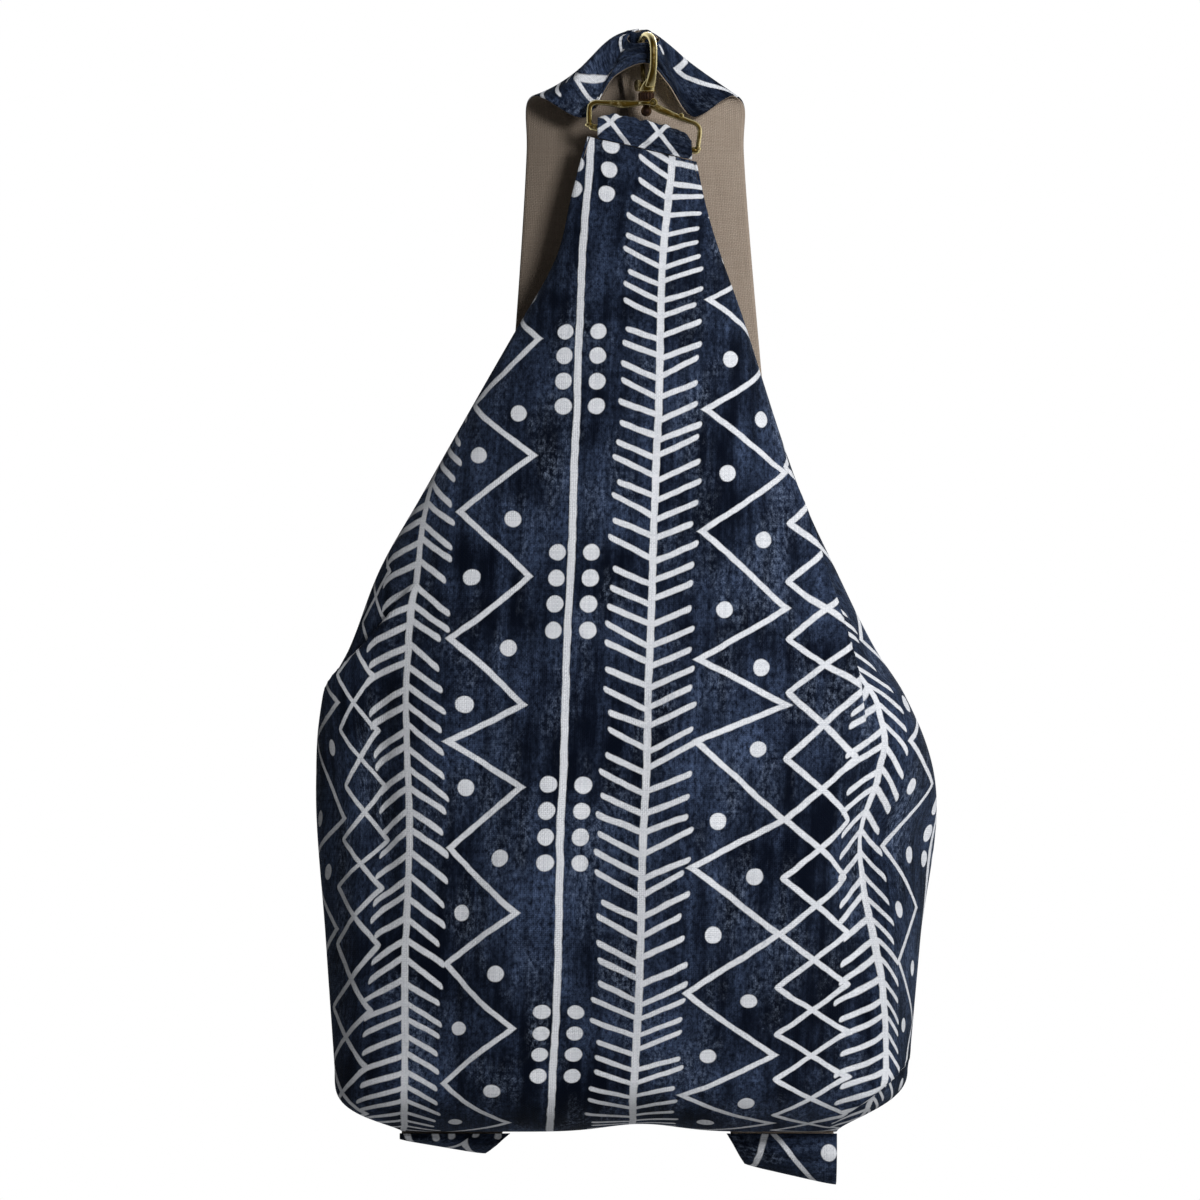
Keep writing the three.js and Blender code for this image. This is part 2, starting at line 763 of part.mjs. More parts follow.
function swivelBarrel() {
  const steps = barrelFlutes * 2;
  const star = new THREE.Shape(
    Array.from({ length: steps }, (_, i) => {
      const turn = (i / steps) * 2 * Math.PI;
      const radius = barrelRadius - (i % 2 ? fluteDepth : 0);
      return new THREE.Vector2(radius * Math.cos(turn), radius * Math.sin(turn));
    }),
  );
  star.holes.push(new THREE.Path().absarc(0, 0, stemDiameter / 2 + clear, 0, 2 * Math.PI, true));
  const geometry = new THREE.ExtrudeGeometry(star, {
    depth: barrelHeight,
    bevelEnabled: false,
    curveSegments: 12,
  });
  geometry.translate(0, 0, -hookBaseDrop - clear - barrelHeight);
  return named("swivel_barrel", geometry, darkBrass);
}

function swivelRivet() {
  const stemTop = -hookBaseDrop + stemReach;
  const ballTop = bossTop - bossHeight - clear;
  const r = stemDiameter / 2;
  const cap = [0.25, 0.5, 0.75].map((share) => {
    const turn = share * Math.PI;
    return [ballRadius * Math.sin(turn), ballTop - ballRadius * 0.7 * (1 + Math.cos(Math.PI - turn))];
  });
  const profile = [[0, stemTop], [r, stemTop], [r, ballTop], ...cap, [0, ballTop - ballRadius * 1.4]];
  return named("swivel_rivet", turned(profile.reverse(), 14), darkBrass);
}

function clasp() {
  const turning = new THREE.Group();
  turning.add(hookBody(), gate(), gatePin(), gateSpring(), swivelBarrel(), swivelRivet());
  turning.position.x = hookAcross;
  turning.rotation.z = -hookTurn * degrees;
  return turning;
}

const backpack = new THREE.Group();
backpack.add(frontPanel(), backPanel(), neckTab(), ...strapLayers(), eyeFrame(), clasp());

export default backpack;
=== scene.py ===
"""Dresses a printed cotton sling backpack that hangs by its strap from a brass swivel clasp.

Lengths are millimetres until a mesh is made. The origin is the point that the strap hangs by,
the front faces -Y and Z points up. A drop is a distance below the origin.
"""

import logging
import math
from dataclasses import dataclass
from enum import Enum
from typing import Sequence, Union

import bpy
import numpy as np
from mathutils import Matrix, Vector


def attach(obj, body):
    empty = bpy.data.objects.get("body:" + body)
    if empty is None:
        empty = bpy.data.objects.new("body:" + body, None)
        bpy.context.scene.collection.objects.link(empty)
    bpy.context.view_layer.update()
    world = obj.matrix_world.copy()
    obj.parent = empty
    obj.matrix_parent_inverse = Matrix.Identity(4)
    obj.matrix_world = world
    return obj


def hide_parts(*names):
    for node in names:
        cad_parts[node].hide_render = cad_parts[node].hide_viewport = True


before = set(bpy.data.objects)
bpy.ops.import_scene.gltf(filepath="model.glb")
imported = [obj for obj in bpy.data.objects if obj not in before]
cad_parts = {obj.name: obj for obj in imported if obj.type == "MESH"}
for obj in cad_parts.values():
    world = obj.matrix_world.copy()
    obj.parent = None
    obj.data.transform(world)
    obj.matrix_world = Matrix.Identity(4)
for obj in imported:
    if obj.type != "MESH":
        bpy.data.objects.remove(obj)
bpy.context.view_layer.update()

log = logging.getLogger("backpack")

MM = 0.001
FLAT = "Flat"
LAP = "lap"

Array = np.ndarray
Value = Union["Field", float]
Triple = tuple[float, float, float]
Colour = Triple
Pair = tuple[float, float]
Table = tuple[Pair, ...]
Tree = bpy.types.NodeTree
Socket = bpy.types.NodeSocket
Node = bpy.types.Node
Material = bpy.types.Material
Piece = bpy.types.Object


class Body(str, Enum):
    """The moving bodies that pieces ride on."""

    BAG = "bag"
    HOOK = "hook"
    GATE = "gate"


class Slot(str, Enum):
    """The finishes of the record."""

    PRINT = "printed_cotton"
    LINEN = "taupe_linen"
    BRASS = "antique_brass"
    DARK = "dark_brass"


def linear(red: int, green: int, blue: int) -> Colour:
    """Return the linear colour of a display colour given as 0 to 255."""
    def channel(level: int) -> float:
        """Return the linear level of one channel."""
        share = level / 255
        return share / 12.92 if share <= 0.04045 else ((share + 0.055) / 1.055) ** 2.4

    return channel(red), channel(green), channel(blue)


# Shader arithmetic


def plug(tree: Tree, value: object, socket: Socket) -> None:
    """Feed a socket from a field, from another socket or with a plain value.

    Args:
        tree: The node tree that holds the socket.
        value: A Field, an output socket, a number, a vector or a colour.
        socket: The input socket to feed.
    """
    if isinstance(value, Field):
        tree.links.new(value.socket, socket)
    elif isinstance(value, Socket):
        tree.links.new(value, socket)
    elif socket.type == "RGBA":
        socket.default_value = (*value, 1.0)
    else:
        socket.default_value = value


class Field:
    """A number that varies over a surface, with plain arithmetic on it."""

    def __init__(self, tree: Tree, socket: Socket) -> None:
        """Keep the tree and the output socket that carries the number."""
        self.tree = tree
        self.socket = socket

    def math(self, operation: str, *others: Value) -> "Field":
        """Return the result of one Math node on this number and others.

        Args:
            operation: The Math node's operation.
            others: The second and third operand, where the operation has them.

        Returns:
            The node's result.
        """
        node = self.tree.nodes.new("ShaderNodeMath")
        node.operation = operation
        for socket, value in zip(node.inputs, (self, *others)):
            plug(self.tree, value, socket)
        return Field(self.tree, node.outputs[0])

    def __add__(self, other: Value) -> "Field":
        """Add."""
        return self.math("ADD", other)

    def __sub__(self, other: Value) -> "Field":
        """Subtract."""
        return self.math("SUBTRACT", other)

    def __mul__(self, other: Value) -> "Field":
        """Multiply."""
        return self.math("MULTIPLY", other)

    def __truediv__(self, other: Value) -> "Field":
        """Divide."""
        return self.math("DIVIDE", other)

    def __abs__(self) -> "Field":
        """Return the size without the sign."""
        return self.math("ABSOLUTE")

    def inverse(self) -> "Field":
        """Return one minus this number."""
        return self.math("MULTIPLY_ADD", -1.0, 1.0)

    def least(self, other: Value) -> "Field":
        """Return the smaller of two numbers."""
        return self.math("MINIMUM", other)

    def most(self, other: Value) -> "Field":
        """Return the larger of two numbers."""
        return self.math("MAXIMUM", other)

    def sine(self) -> "Field":
        """Return the sine of an angle in radians."""
        return self.math("SINE")

    def repeat(self, period: Value) -> "Field":
        """Return the signed distance to the nearest multiple of a period."""
        return self - (self / period).math("ROUND") * period

    def count(self, marks: Sequence[float]) -> "Field":
        """Return how many marks are passed, with the share of the way to the next one.

        Args:
            marks: Rising numbers; the first counts as 0.

        Returns:
            The count, which goes on evenly before the first mark and after the last.
        """
        span = marks[-1] - marks[0]
        last = len(marks) - 1
        node = self.tree.nodes.new("ShaderNodeFloatCurve")
        node.mapping.use_clip = False
        curve = node.mapping.curves[0]
        for passed, mark in enumerate(marks[1:-1], 1):
            curve.points.new((mark - marks[0]) / span, passed / last)
        for point in curve.points:
            point.handle_type = "VECTOR"
        node.mapping.update()
        plug(self.tree, (self - marks[0]) / span, node.inputs["Value"])
        return Field(self.tree, node.outputs["Value"]) * last

    def hypotenuse(self, other: "Field") -> "Field":
        """Return the length of the vector with this number and another as its sides."""
        return (self * self + other * other).math("SQRT")

    def rise(self, low: Value, high: Value) -> "Field":
        """Return a smooth step from 0 at low to 1 at high."""
        node = self.tree.nodes.new("ShaderNodeMapRange")
        node.interpolation_type = "SMOOTHSTEP"
        for name, value in (("Value", self), ("From Min", low), ("From Max", high)):
            plug(self.tree, value, node.inputs[name])
        return Field(self.tree, node.outputs["Result"])

    def blend(self, first: object, second: object) -> Socket:
        """Return the colour that runs from first to second as this number goes from 0 to 1."""
        node = self.tree.nodes.new("ShaderNodeMix")
        node.data_type = "RGBA"
        plug(self.tree, self, node.inputs["Factor"])
        plug(self.tree, first, node.inputs[6])
        plug(self.tree, second, node.inputs[7])
        return node.outputs[2]


def split(tree: Tree, vector: Socket) -> tuple[Field, Field, Field]:
    """Return a vector's three numbers."""
    node = tree.nodes.new("ShaderNodeSeparateXYZ")
    tree.links.new(vector, node.inputs[0])
    return tuple(Field(tree, socket) for socket in node.outputs)


def joined(tree: Tree, *parts: Value) -> Socket:
    """Return the vector made of up to three numbers."""
    node = tree.nodes.new("ShaderNodeCombineXYZ")
    for socket, part in zip(node.inputs, parts):
        plug(tree, part, socket)
    return node.outputs[0]


def noise(
    tree: Tree,
    place: Socket,
    scale: float,
    detail: float = 2.0,
    roughness: float = 0.5,
) -> Node:
    """Return a noise node.

    Args:
        tree: The node tree to add it to.
        place: The vector that it is read at.
        scale: How many features there are to a unit of that vector.
        detail: How many finer layers are added.
        roughness: How strong the finer layers are.

    Returns:
        The node, with Fac and Color outputs.
    """
    node = tree.nodes.new("ShaderNodeTexNoise")
    tree.links.new(place, node.inputs["Vector"])
    node.inputs["Scale"].default_value = scale
    node.inputs["Detail"].default_value = detail
    node.inputs["Roughness"].default_value = roughness
    return node


def clouds(tree: Tree, place: Socket, *sizes: float) -> Field:
    """Return the level of a noise; the sizes are its scale, detail and roughness."""
    return Field(tree, noise(tree, place, *sizes).outputs["Fac"])


class Effect:
    """A shader node group, built once and placed in each material that shows the effect."""

    def __init__(self, name: str, inputs: dict[str, object], outputs: Sequence[str]) -> None:
        """Make the group's sockets.

        Args:
            name: The group's name.
            inputs: The default of each input; None makes a vector input.
            outputs: The names of the output numbers.
        """
        self.tree = bpy.data.node_groups.new(name, "ShaderNodeTree")
        for label, default in inputs.items():
            kind = "NodeSocketVector" if default is None else "NodeSocketFloat"
            socket = self.tree.interface.new_socket(label, in_out="INPUT", socket_type=kind)
            if default is not None:
                socket.default_value = default
        for label in outputs:
            self.tree.interface.new_socket(label, in_out="OUTPUT", socket_type="NodeSocketFloat")
        self.source = self.tree.nodes.new("NodeGroupInput")
        self.target = self.tree.nodes.new("NodeGroupOutput")

    def number(self, name: str) -> Field:
        """Return an input number."""
        return Field(self.tree, self.source.outputs[name])

    def vector(self, name: str) -> Socket:
        """Return an input vector."""
        return self.source.outputs[name]

    def give(self, name: str, value: Field) -> None:
        """Set an output number."""
        plug(self.tree, value, self.target.inputs[name])

    def place(self, tree: Tree, **values: object) -> dict[str, Field]:
        """Put the group into a material.

        Args:
            tree: The material's node tree.
            values: What feeds each input; spaces in its name are written as underscores.

        Returns:
            The outputs by name.
        """
        node = tree.nodes.new("ShaderNodeGroup")
        node.node_tree = self.tree
        for name, value in values.items():
            plug(tree, value, node.inputs[name.replace("_", " ")])
        return {socket.name: Field(tree, socket) for socket in node.outputs}


# Effects


@dataclass(frozen=True)
class Zigzag:
    """A zigzag stripe: its middle, its corners' reach, the side that comes first, and its corners.

    The corner that bare counts has no dot.
    """

    middle: float
    reach: float
    first: float
    corners: tuple[float, ...]
    bare: float = 11.0


@dataclass(frozen=True)
class Herringbone:
    """A spine with slanting arms.

    The arms rise away from the spine, or fall if the slope is negative. They reach as far as the
    length near the neck, and farther by the growth on the belly.
    """

    middle: float
    slope: float
    length: float
    growth: float


@dataclass(frozen=True)
class BlockPrint:
    """The hand-drawn stripes of the printed cloth: herringbones, zigzags, dots and lattices.

    Across a stripe counts from the middle of the front, and down counts from the neck.
    """

    repeat: float = 230.0
    stroke: float = 1.37
    spine: float = 1.7
    arm_pitch: float = 10.0
    arm_shift: float = 3.4
    arm_twist: float = 0.2
    arm_trim: float = 4.5
    growth_from: float = 60.0
    growth_to: float = 280.0
    herringbones: tuple[Herringbone, ...] = (
        Herringbone(14.5, 0.46, 15.6, 4.0),
        Herringbone(-100.0, -0.68, 17.0, 0.0),
    )
    dot: float = 4.0
    dot_row: float = 12.3
    dot_columns: Pair = (-6.8, 9.4)
    dotted: float = -24.5
    cluster_pitch: float = 110.0
    cluster_start: float = 55.0
    near_zigzag: Zigzag = Zigzag(
        58.9, 21.6, -1.0,
        (18, 46, 74, 102, 129, 160, 186, 217, 246, 283,
         307, 329, 346, 384, 406, 437, 465, 501, 526),
    )
    far_zigzag: Zigzag = Zigzag(
        -61.9, 17.4, 1.0,
        (45, 71, 97, 123, 150, 183, 208, 236, 268, 298, 329, 347, 368, 397, 427, 452, 486, 518),
    )
    left_dot: Pair = (8.8, 4.2)
    right_dot: Pair = (-9.8, 0.4)
    lattice_middle: float = 99.0
    lattice_reach: float = 17.8
    lattice_corners: tuple[tuple[float, ...], tuple[float, ...]] = (
        (240, 265, 290, 316, 342, 368, 394, 417, 444, 477, 510),
        (242, 270, 298, 323, 355, 384, 411, 437, 462, 489, 515),
    )
    wander: float = 3.5
    wander_scale: float = 12.0
    ragged: float = 1.0
    ragged_scale: float = 130.0
    edge: float = 0.35

    def herringbone(self, across: Field, down: Field, shape: Herringbone) -> Field:
        """Return the distance from the ink of a herringbone, with each arm drawn a bit differently.

        Args:
            across: The distance from the spine.
            down: The place along the spine.
            shape: The sizes of the herringbone.

        Returns:
            The distance, negative inside the ink.
        """
        out = abs(across)
        level = down + out * shape.slope
        arm = (level / self.arm_pitch).math("ROUND")
        tree = across.tree
        chance = tree.nodes.new("ShaderNodeTexWhiteNoise")
        chance.noise_dimensions = "3D"
        tree.links.new(joined(tree, arm, across.math("SIGN"), shape.slope), chance.inputs["Vector"])
        shift, twist, trim = (share - 0.5 for share in split(tree, chance.outputs["Color"]))
        off = level - arm * self.arm_pitch - shift * self.arm_shift - twist * out * self.arm_twist
        end = down.rise(self.growth_from, self.growth_to) * shape.growth + shape.length
        past = (out - end - trim * self.arm_trim).most(0.0)
        lean = math.cos(math.atan(shape.slope))
        arms = (off * lean).hypotenuse(past) - self.stroke
        return arms.least(out - self.spine)

    def zigzag(self, across: Field, down: Field, shape: Zigzag) -> Field:
        """Return the distance from the ink of a zigzag with a dot inside its corners.

        Args:
            across: The distance from the middle of the stripe.
            down: The place along the stripe.
            shape: The sizes of the zigzag.

        Returns:
            The distance, negative inside the ink.
        """
        passed = down.count(shape.corners)
        rate = ((down + 1.0).count(shape.corners) - (down - 1.0).count(shape.corners)) * 0.5
        even = passed.repeat(2.0)
        slope = rate * (2.0 * shape.reach)
        line = abs(across - (abs(even) * 2.0 - 1.0) * (-shape.first * shape.reach))
        line = line / (slope * slope + 1.0).math("SQRT") - self.stroke
        odd = (passed - 1.0).repeat(2.0)
        left, right = (even, odd) if shape.first < 0 else (odd, even)
        spots = [
            (across - out).hypotenuse(corner / rate - below)
            for corner, (out, below) in ((left, self.left_dot), (right, self.right_dot))
        ]
        bare = (abs(passed - shape.bare).inverse() - 0.5).most(0.0) * self.repeat
        return line.least(spots[0].least(spots[1]) + bare - self.dot)

    def dotted_line(self, across: Field, down: Field) -> Field:
        """Return the distance from the ink of a line with clusters of dots on both sides."""
        local = (down - self.cluster_start).repeat(self.cluster_pitch)
        row = ((local / self.dot_row).math("FLOOR") + 0.5).most(-1.5).least(1.5)
        off = local - row * self.dot_row
        near, far = ((across - column).hypotenuse(off) for column in self.dot_columns)
        return (abs(across) - self.spine).least(near.least(far) - self.dot)

    def lattice(self, across: Field, down: Field, right: Field) -> Field:
        """Return the distance from the ink of a chain of diamonds.

        Args:
            across: The distance from the middle of the stripe.
            down: The place along the stripe.
            right: 1 on the right half of the cloth and 0 on the left, where the corners differ.

        Returns:
            The distance, negative inside the ink.
        """
        lefts, rights = self.lattice_corners
        slope = 2.0 * self.lattice_reach * (len(rights) - 1) / (rights[-1] - rights[0])
        passed = down.count(lefts) * right.inverse() + down.count(rights) * right
        wave = abs((passed - 0.5).repeat(1.0)) * (2.0 * self.lattice_reach)
        cross = abs(abs(across) - wave) * math.cos(math.atan(slope))
        past = (abs(across) - self.lattice_reach).most(0.0)
        return cross.hypotenuse(past) - self.stroke

    def build(self) -> Effect:
        """Return the group that turns a place on the flat cloth into a mask of the print."""
        effect = Effect("Block print", {FLAT: None}, ["Print"])
        tree = effect.tree
        place = effect.vector(FLAT)
        u, v, _ = split(tree, place)
        drift = split(tree, noise(tree, place, self.wander_scale, 2.0).outputs["Color"])
        tremble = split(tree, noise(tree, place, self.ragged_scale, 1.0).outputs["Color"])
        across = u / MM + (drift[0] - 0.5) * self.wander + (tremble[0] - 0.5) * self.ragged
        down = v / MM + (drift[1] - 0.5) * self.wander + (tremble[1] - 0.5) * self.ragged

        def stripe(middle: float) -> Field:
            """Return the distance from the nearest repeat of a stripe's middle."""
            return (across - middle).repeat(self.repeat)

        ink = self.dotted_line(stripe(self.dotted), down)
        for shape in self.herringbones:
            ink = ink.least(self.herringbone(stripe(shape.middle), down, shape))
        for shape in (self.near_zigzag, self.far_zigzag):
            ink = ink.least(self.zigzag(stripe(shape.middle), down, shape))
        right = u.math("GREATER_THAN", 0.0)
        ink = ink.least(self.lattice(stripe(self.lattice_middle), down, right))
        effect.give("Print", ink.rise(-self.edge, self.edge).inverse())
        return effect


@dataclass(frozen=True)
class PlainWeave:
    """Threads that pass over and under each other, some thicker than others."""

    crossing: float = 0.2
    slub_scale: float = 0.9
    slub_stretch: float = 0.04
    thinnest: float = 0.5

    def build(self) -> Effect:
        """Return the group with the height of the weave and the lightness of each thread."""
        effect = Effect("Plain weave", {FLAT: None, "Pitch": 0.9}, ["Height", "Thread"])
        tree = effect.tree
        u, v, _ = split(tree, effect.vector(FLAT))
        pitch = effect.number("Pitch") * MM
        across, down = u / pitch, v / pitch
        warp = (across * math.pi).sine()
        weft = (down * math.pi).sine()
        over = (warp * weft).rise(-self.crossing, self.crossing)
        long, wide = (
            joined(tree, across, down * self.slub_stretch),
            joined(tree, across * self.slub_stretch, down),
        )
        slub_warp, slub_weft = (clouds(tree, spot, self.slub_scale) for spot in (long, wide))
        ridge_warp = abs(warp) * (slub_warp + self.thinnest)
        ridge_weft = abs(weft) * (slub_weft + self.thinnest)
        height = ridge_warp * over + ridge_weft * over.inverse()
        effect.give("Height", height)
        effect.give("Thread", slub_warp * over + slub_weft * over.inverse())
        return effect


@dataclass(frozen=True)
class Fading:
    """Wear of washed cloth: pale streaks down the cloth, broad blotches and rubbed specks.

    Each pattern's size is given as features to a metre, across and down.
    """

    streak: Pair = (150.0, 16.0)
    blotch: Pair = (16.0, 16.0)
    grain: Pair = (520.0, 300.0)
    patch: Pair = (45.0, 17.0)
    streak_share: float = 0.42
    broad_range: Pair = (0.38, 0.7)
    grain_range: Pair = (0.25, 0.75)
    patch_range: Pair = (0.47, 0.7)
    speck_range: Pair = (0.42, 0.72)

    def build(self) -> Effect:
        """Return the group with the broad fading and the rubbed specks."""
        effect = Effect("Fading", {FLAT: None}, ["Fade", "Rub"])
        tree = effect.tree
        u, v, _ = split(tree, effect.vector(FLAT))

        def layer(size: Pair, detail: float, roughness: float) -> Field:
            """Return a noise of one size across and another down."""
            return clouds(tree, joined(tree, u * size[0], v * size[1]), 1.0, detail, roughness)

        streak, blotch = layer(self.streak, 4.0, 0.65), layer(self.blotch, 3.0, 0.6)
        grain, patch = layer(self.grain, 3.0, 0.75), layer(self.patch, 3.0, 0.6)
        broad = streak * self.streak_share + blotch * (1 - self.streak_share)
        effect.give("Fade", broad.rise(*self.broad_range) * grain.rise(*self.grain_range))
        effect.give("Rub", patch.rise(*self.patch_range) * grain.rise(*self.speck_range))
        return effect


@dataclass(frozen=True)
class Tarnish:
    """Dull stains in hollows, and bright edges that stand both for metal that hands rub and for a
    painted highlight.
    """

    cloud_scale: float = 260.0
    speck_scale: float = 1500.0
    hollow_range: Pair = (0.44, 0.52)
    # How sharp an edge must be to be lit up as rubbed metal and painted highlight.
    edge_range: Pair = (0.62, 0.8)
    stain_range: Pair = (0.42, 0.8)

    def build(self) -> Effect:
        """Return the group with the tarnish mask, the bright edges of rubbed metal and painted
        highlight, and fine scratches.
        """
        effect = Effect("Tarnish", {"Place": None, "Amount": 0.5}, ["Stain", "Bright", "Scratch"])
        tree = effect.tree
        place = effect.vector("Place")
        cloud = clouds(tree, place, self.cloud_scale, 4.0, 0.6)
        speck = clouds(tree, place, self.speck_scale, 3.0, 0.7)
        bend = Field(tree, tree.nodes.new("ShaderNodeNewGeometry").outputs["Pointiness"])
        amount = effect.number("Amount")
        hollow = bend.rise(*self.hollow_range).inverse()
        stain = cloud * 0.6 + speck * 0.4 + hollow * 0.5 + amount - 0.5
        effect.give("Stain", stain.rise(*self.stain_range))
        # Sharp edges are made bright: partly rubbed metal, partly a painted highlight.
        effect.give("Bright", bend.rise(*self.edge_range))
        effect.give("Scratch", speck)
        return effect


# Finishes


class Finishes:
    """The materials, each with its effects placed in it."""

    def __init__(self) -> None:
        """Build the effects and then each finish."""
        self.block_print = BlockPrint().build()
        self.weave = PlainWeave().build()
        self.fading = Fading().build()
        self.tarnish = Tarnish().build()
        self.print = PrintedCotton().build(self)
        self.linen = TaupeLinen().build(self)
        self.brass = Brass(Slot.BRASS).build(self)
        dark = Brass(Slot.DARK, linear(92, 68, 46), linear(24, 16, 13), polish=0.25)
        self.dark = dark.build(self)


def blank_material(name: str) -> tuple[Material, Tree, Node]:
    """Return a new material, its node tree and its Principled shader."""
    material = bpy.data.materials.new(name)
    material.use_nodes = True
    tree = material.node_tree
    return material, tree, tree.nodes["Principled BSDF"]


def add_bump(tree: Tree, shader: Node, height: Field, depth: float) -> None:
    """Give a shader the relief of a height field.

    Args:
        tree: The material's node tree.
        shader: The Principled shader.
        height: The relief, about 0 to 1.
        depth: The relief's height in millimetres.
    """
    bump = tree.nodes.new("ShaderNodeBump")
    bump.inputs["Distance"].default_value = depth * MM
    plug(tree, height, bump.inputs["Height"])
    tree.links.new(bump.outputs["Normal"], shader.inputs["Normal"])


def soften(shader: Node, gloss: float) -> None:
    """Give a shader the faint gloss and the sheen of cloth."""
    shader.inputs["Specular IOR Level"].default_value = gloss
    shader.inputs["Sheen Weight"].default_value = 0.05


def flat_place(tree: Tree) -> Socket:
    """Return the place on the flat cloth, in metres."""
    node = tree.nodes.new("ShaderNodeUVMap")
    node.uv_map = FLAT
    return node.outputs["UV"]


def lap_numbers(tree: Tree) -> tuple[Field, Field, Field]:
    """Return how far past a lap's edge a place is, what length the lap hides, and a third number:
    how much painted shadow darkens the linen, or where the print is left off.
    """
    node = tree.nodes.new("ShaderNodeAttribute")
    node.attribute_name = LAP
    return split(tree, node.outputs["Vector"])


@dataclass(frozen=True)
class PrintedCotton:
    """Washed indigo cotton with a pale print."""

    deep: Colour = linear(6, 11, 23)
    faded: Colour = linear(77, 93, 125)
    rubbed: Colour = linear(132, 146, 170)
    ink: Colour = linear(226, 228, 233)
    worn_ink: Colour = linear(176, 181, 190)
    sheen_tint: Colour = (0.7, 0.84, 1.0)
    gloss: float = 0.02
    pitch: float = 0.95
    relief: float = 0.22

    def build(self, finishes: Finishes) -> Material:
        """Return the material, with print, weave and fading placed in it."""
        material, tree, shader = blank_material(Slot.PRINT.value)
        u, v, _ = split(tree, flat_place(tree))
        past, hidden, plain = lap_numbers(tree)
        place = joined(tree, u + past.math("GREATER_THAN", 0.0) * hidden, v)
        weave = finishes.weave.place(tree, Flat=place, Pitch=self.pitch)
        wear = finishes.fading.place(tree, Flat=place)
        mask = finishes.block_print.place(tree, Flat=place)["Print"]
        # The third lap number leaves the print off: on the strap's gathers, where the plain dark
        # ground stands for painted shade, and on a small patch of its right fold.
        mask = mask * plain.rise(0.4, 0.6).inverse()
        tone = weave["Thread"].rise(0.3, 0.7)
        ground = (wear["Fade"] * (tone * 0.5 + 0.75)).blend(self.deep, self.faded)
        ground = (wear["Rub"] * (tone * 0.8 + 0.2) * 0.7).blend(ground, self.rubbed)
        pale = (tone * 0.45 + wear["Rub"] * 0.3).blend(self.ink, self.worn_ink)
        colour = (mask * (wear["Rub"] * 0.12).inverse()).blend(ground, pale)
        plug(tree, colour, shader.inputs["Base Color"])
        plug(tree, weave["Height"] * -0.12 + 0.92, shader.inputs["Roughness"])
        soften(shader, self.gloss)
        shader.inputs["Sheen Roughness"].default_value = 0.4
        shader.inputs["Sheen Tint"].default_value = (*self.sheen_tint, 1.0)
        add_bump(tree, shader, weave["Height"] + mask * 0.25, self.relief)
        return material


@dataclass(frozen=True)
class TaupeLinen:
    """Undyed brown linen of the lining, darkened by a painted shadow where its third lap number
    asks for it.
    """

    light: Colour = linear(180, 165, 150)
    dark: Colour = linear(140, 126, 113)
    # The colour of the painted shadow on the left strap's linen.
    painted_shadow: Colour = linear(62, 55, 48)
    # How far the painted shadow darkens the linen.
    depth: float = 0.6
    gloss: float = 0.05
    pitch: float = 0.85
    relief: float = 0.25

    def build(self, finishes: Finishes) -> Material:
        """Return the material, with weave, fading and the painted shadow placed in it."""
        material, tree, shader = blank_material(Slot.LINEN.value)
        place = flat_place(tree)
        weave = finishes.weave.place(tree, Flat=place, Pitch=self.pitch)
        wear = finishes.fading.place(tree, Flat=place)
        shade = weave["Thread"].rise(0.25, 0.75) * 0.45 + wear["Fade"] * 0.3 + 0.15
        lit = shade.blend(self.dark, self.light)
        # The third lap number paints a shadow on the linen.
        colour = (lap_numbers(tree)[2] * self.depth).blend(lit, self.painted_shadow)
        plug(tree, colour, shader.inputs["Base Color"])
        plug(tree, weave["Height"] * -0.1 + 0.95, shader.inputs["Roughness"])
        soften(shader, self.gloss)
        add_bump(tree, shader, weave["Height"], self.relief)
        return material


@dataclass(frozen=True)
class Brass:
    """Cast brass, tarnished in its hollows, with a painted dark reflection on the faces that look
    to the front or the back and a painted highlight on its edges.
    """

    slot: Slot
    # The brass's own colour, which on its edges also stands as the painted highlight.
    bright: Colour = linear(250, 236, 180)
    # The colour of tarnish and of the painted dark reflection.
    tarnish_and_painted_dark: Colour = linear(46, 35, 8)
    amount: float = 0.8
    polish: float = 0.2
    # How squarely a face must look to the front or the back to take the painted dark reflection.
    painted_reflection_range: Pair = (0.35, 0.9)
    scratch: float = 0.03

    def build(self, finishes: Finishes) -> Material:
        """Return the material, with tarnish, the painted dark reflection and the painted edge
        highlight placed in it.
        """
        material, tree, shader = blank_material(self.slot.value)
        place = tree.nodes.new("ShaderNodeTexCoord").outputs["Object"]
        tarnish = finishes.tarnish.place(tree, Place=place, Amount=self.amount)
        # Faces that look to the front or the back are darkened as a painted dark reflection, a
        # little more where tarnished; edges are lightened as rubbed metal and painted highlight.
        _, out, _ = split(tree, tree.nodes.new("ShaderNodeTexCoord").outputs["Normal"])
        facing = abs(out).rise(*self.painted_reflection_range)
        stain = (tarnish["Stain"] * 0.35 + 0.65) * (tarnish["Bright"] * 0.8).inverse() * facing
        plug(tree, stain.blend(self.bright, self.tarnish_and_painted_dark), shader.inputs["Base Color"])
        rough = stain * 0.22 + tarnish["Scratch"] * 0.1 + self.polish - 0.05
        plug(tree, rough, shader.inputs["Roughness"])
        shader.inputs["Metallic"].default_value = 1.0
        add_bump(tree, shader, tarnish["Scratch"], self.scratch)
        return material


# Surfaces


def smoothstep(value: Array, low: float, high: float) -> Array:
    """Return a smooth step from 0 at low to 1 at high."""
    share = np.clip((value - low) / (high - low), 0.0, 1.0)
    return share * share * (3 - 2 * share)


def mix(first: Array, second: Array, share: Array) -> Array:
    """Return what lies between two values at a share of the way."""
    return first + (second - first) * share


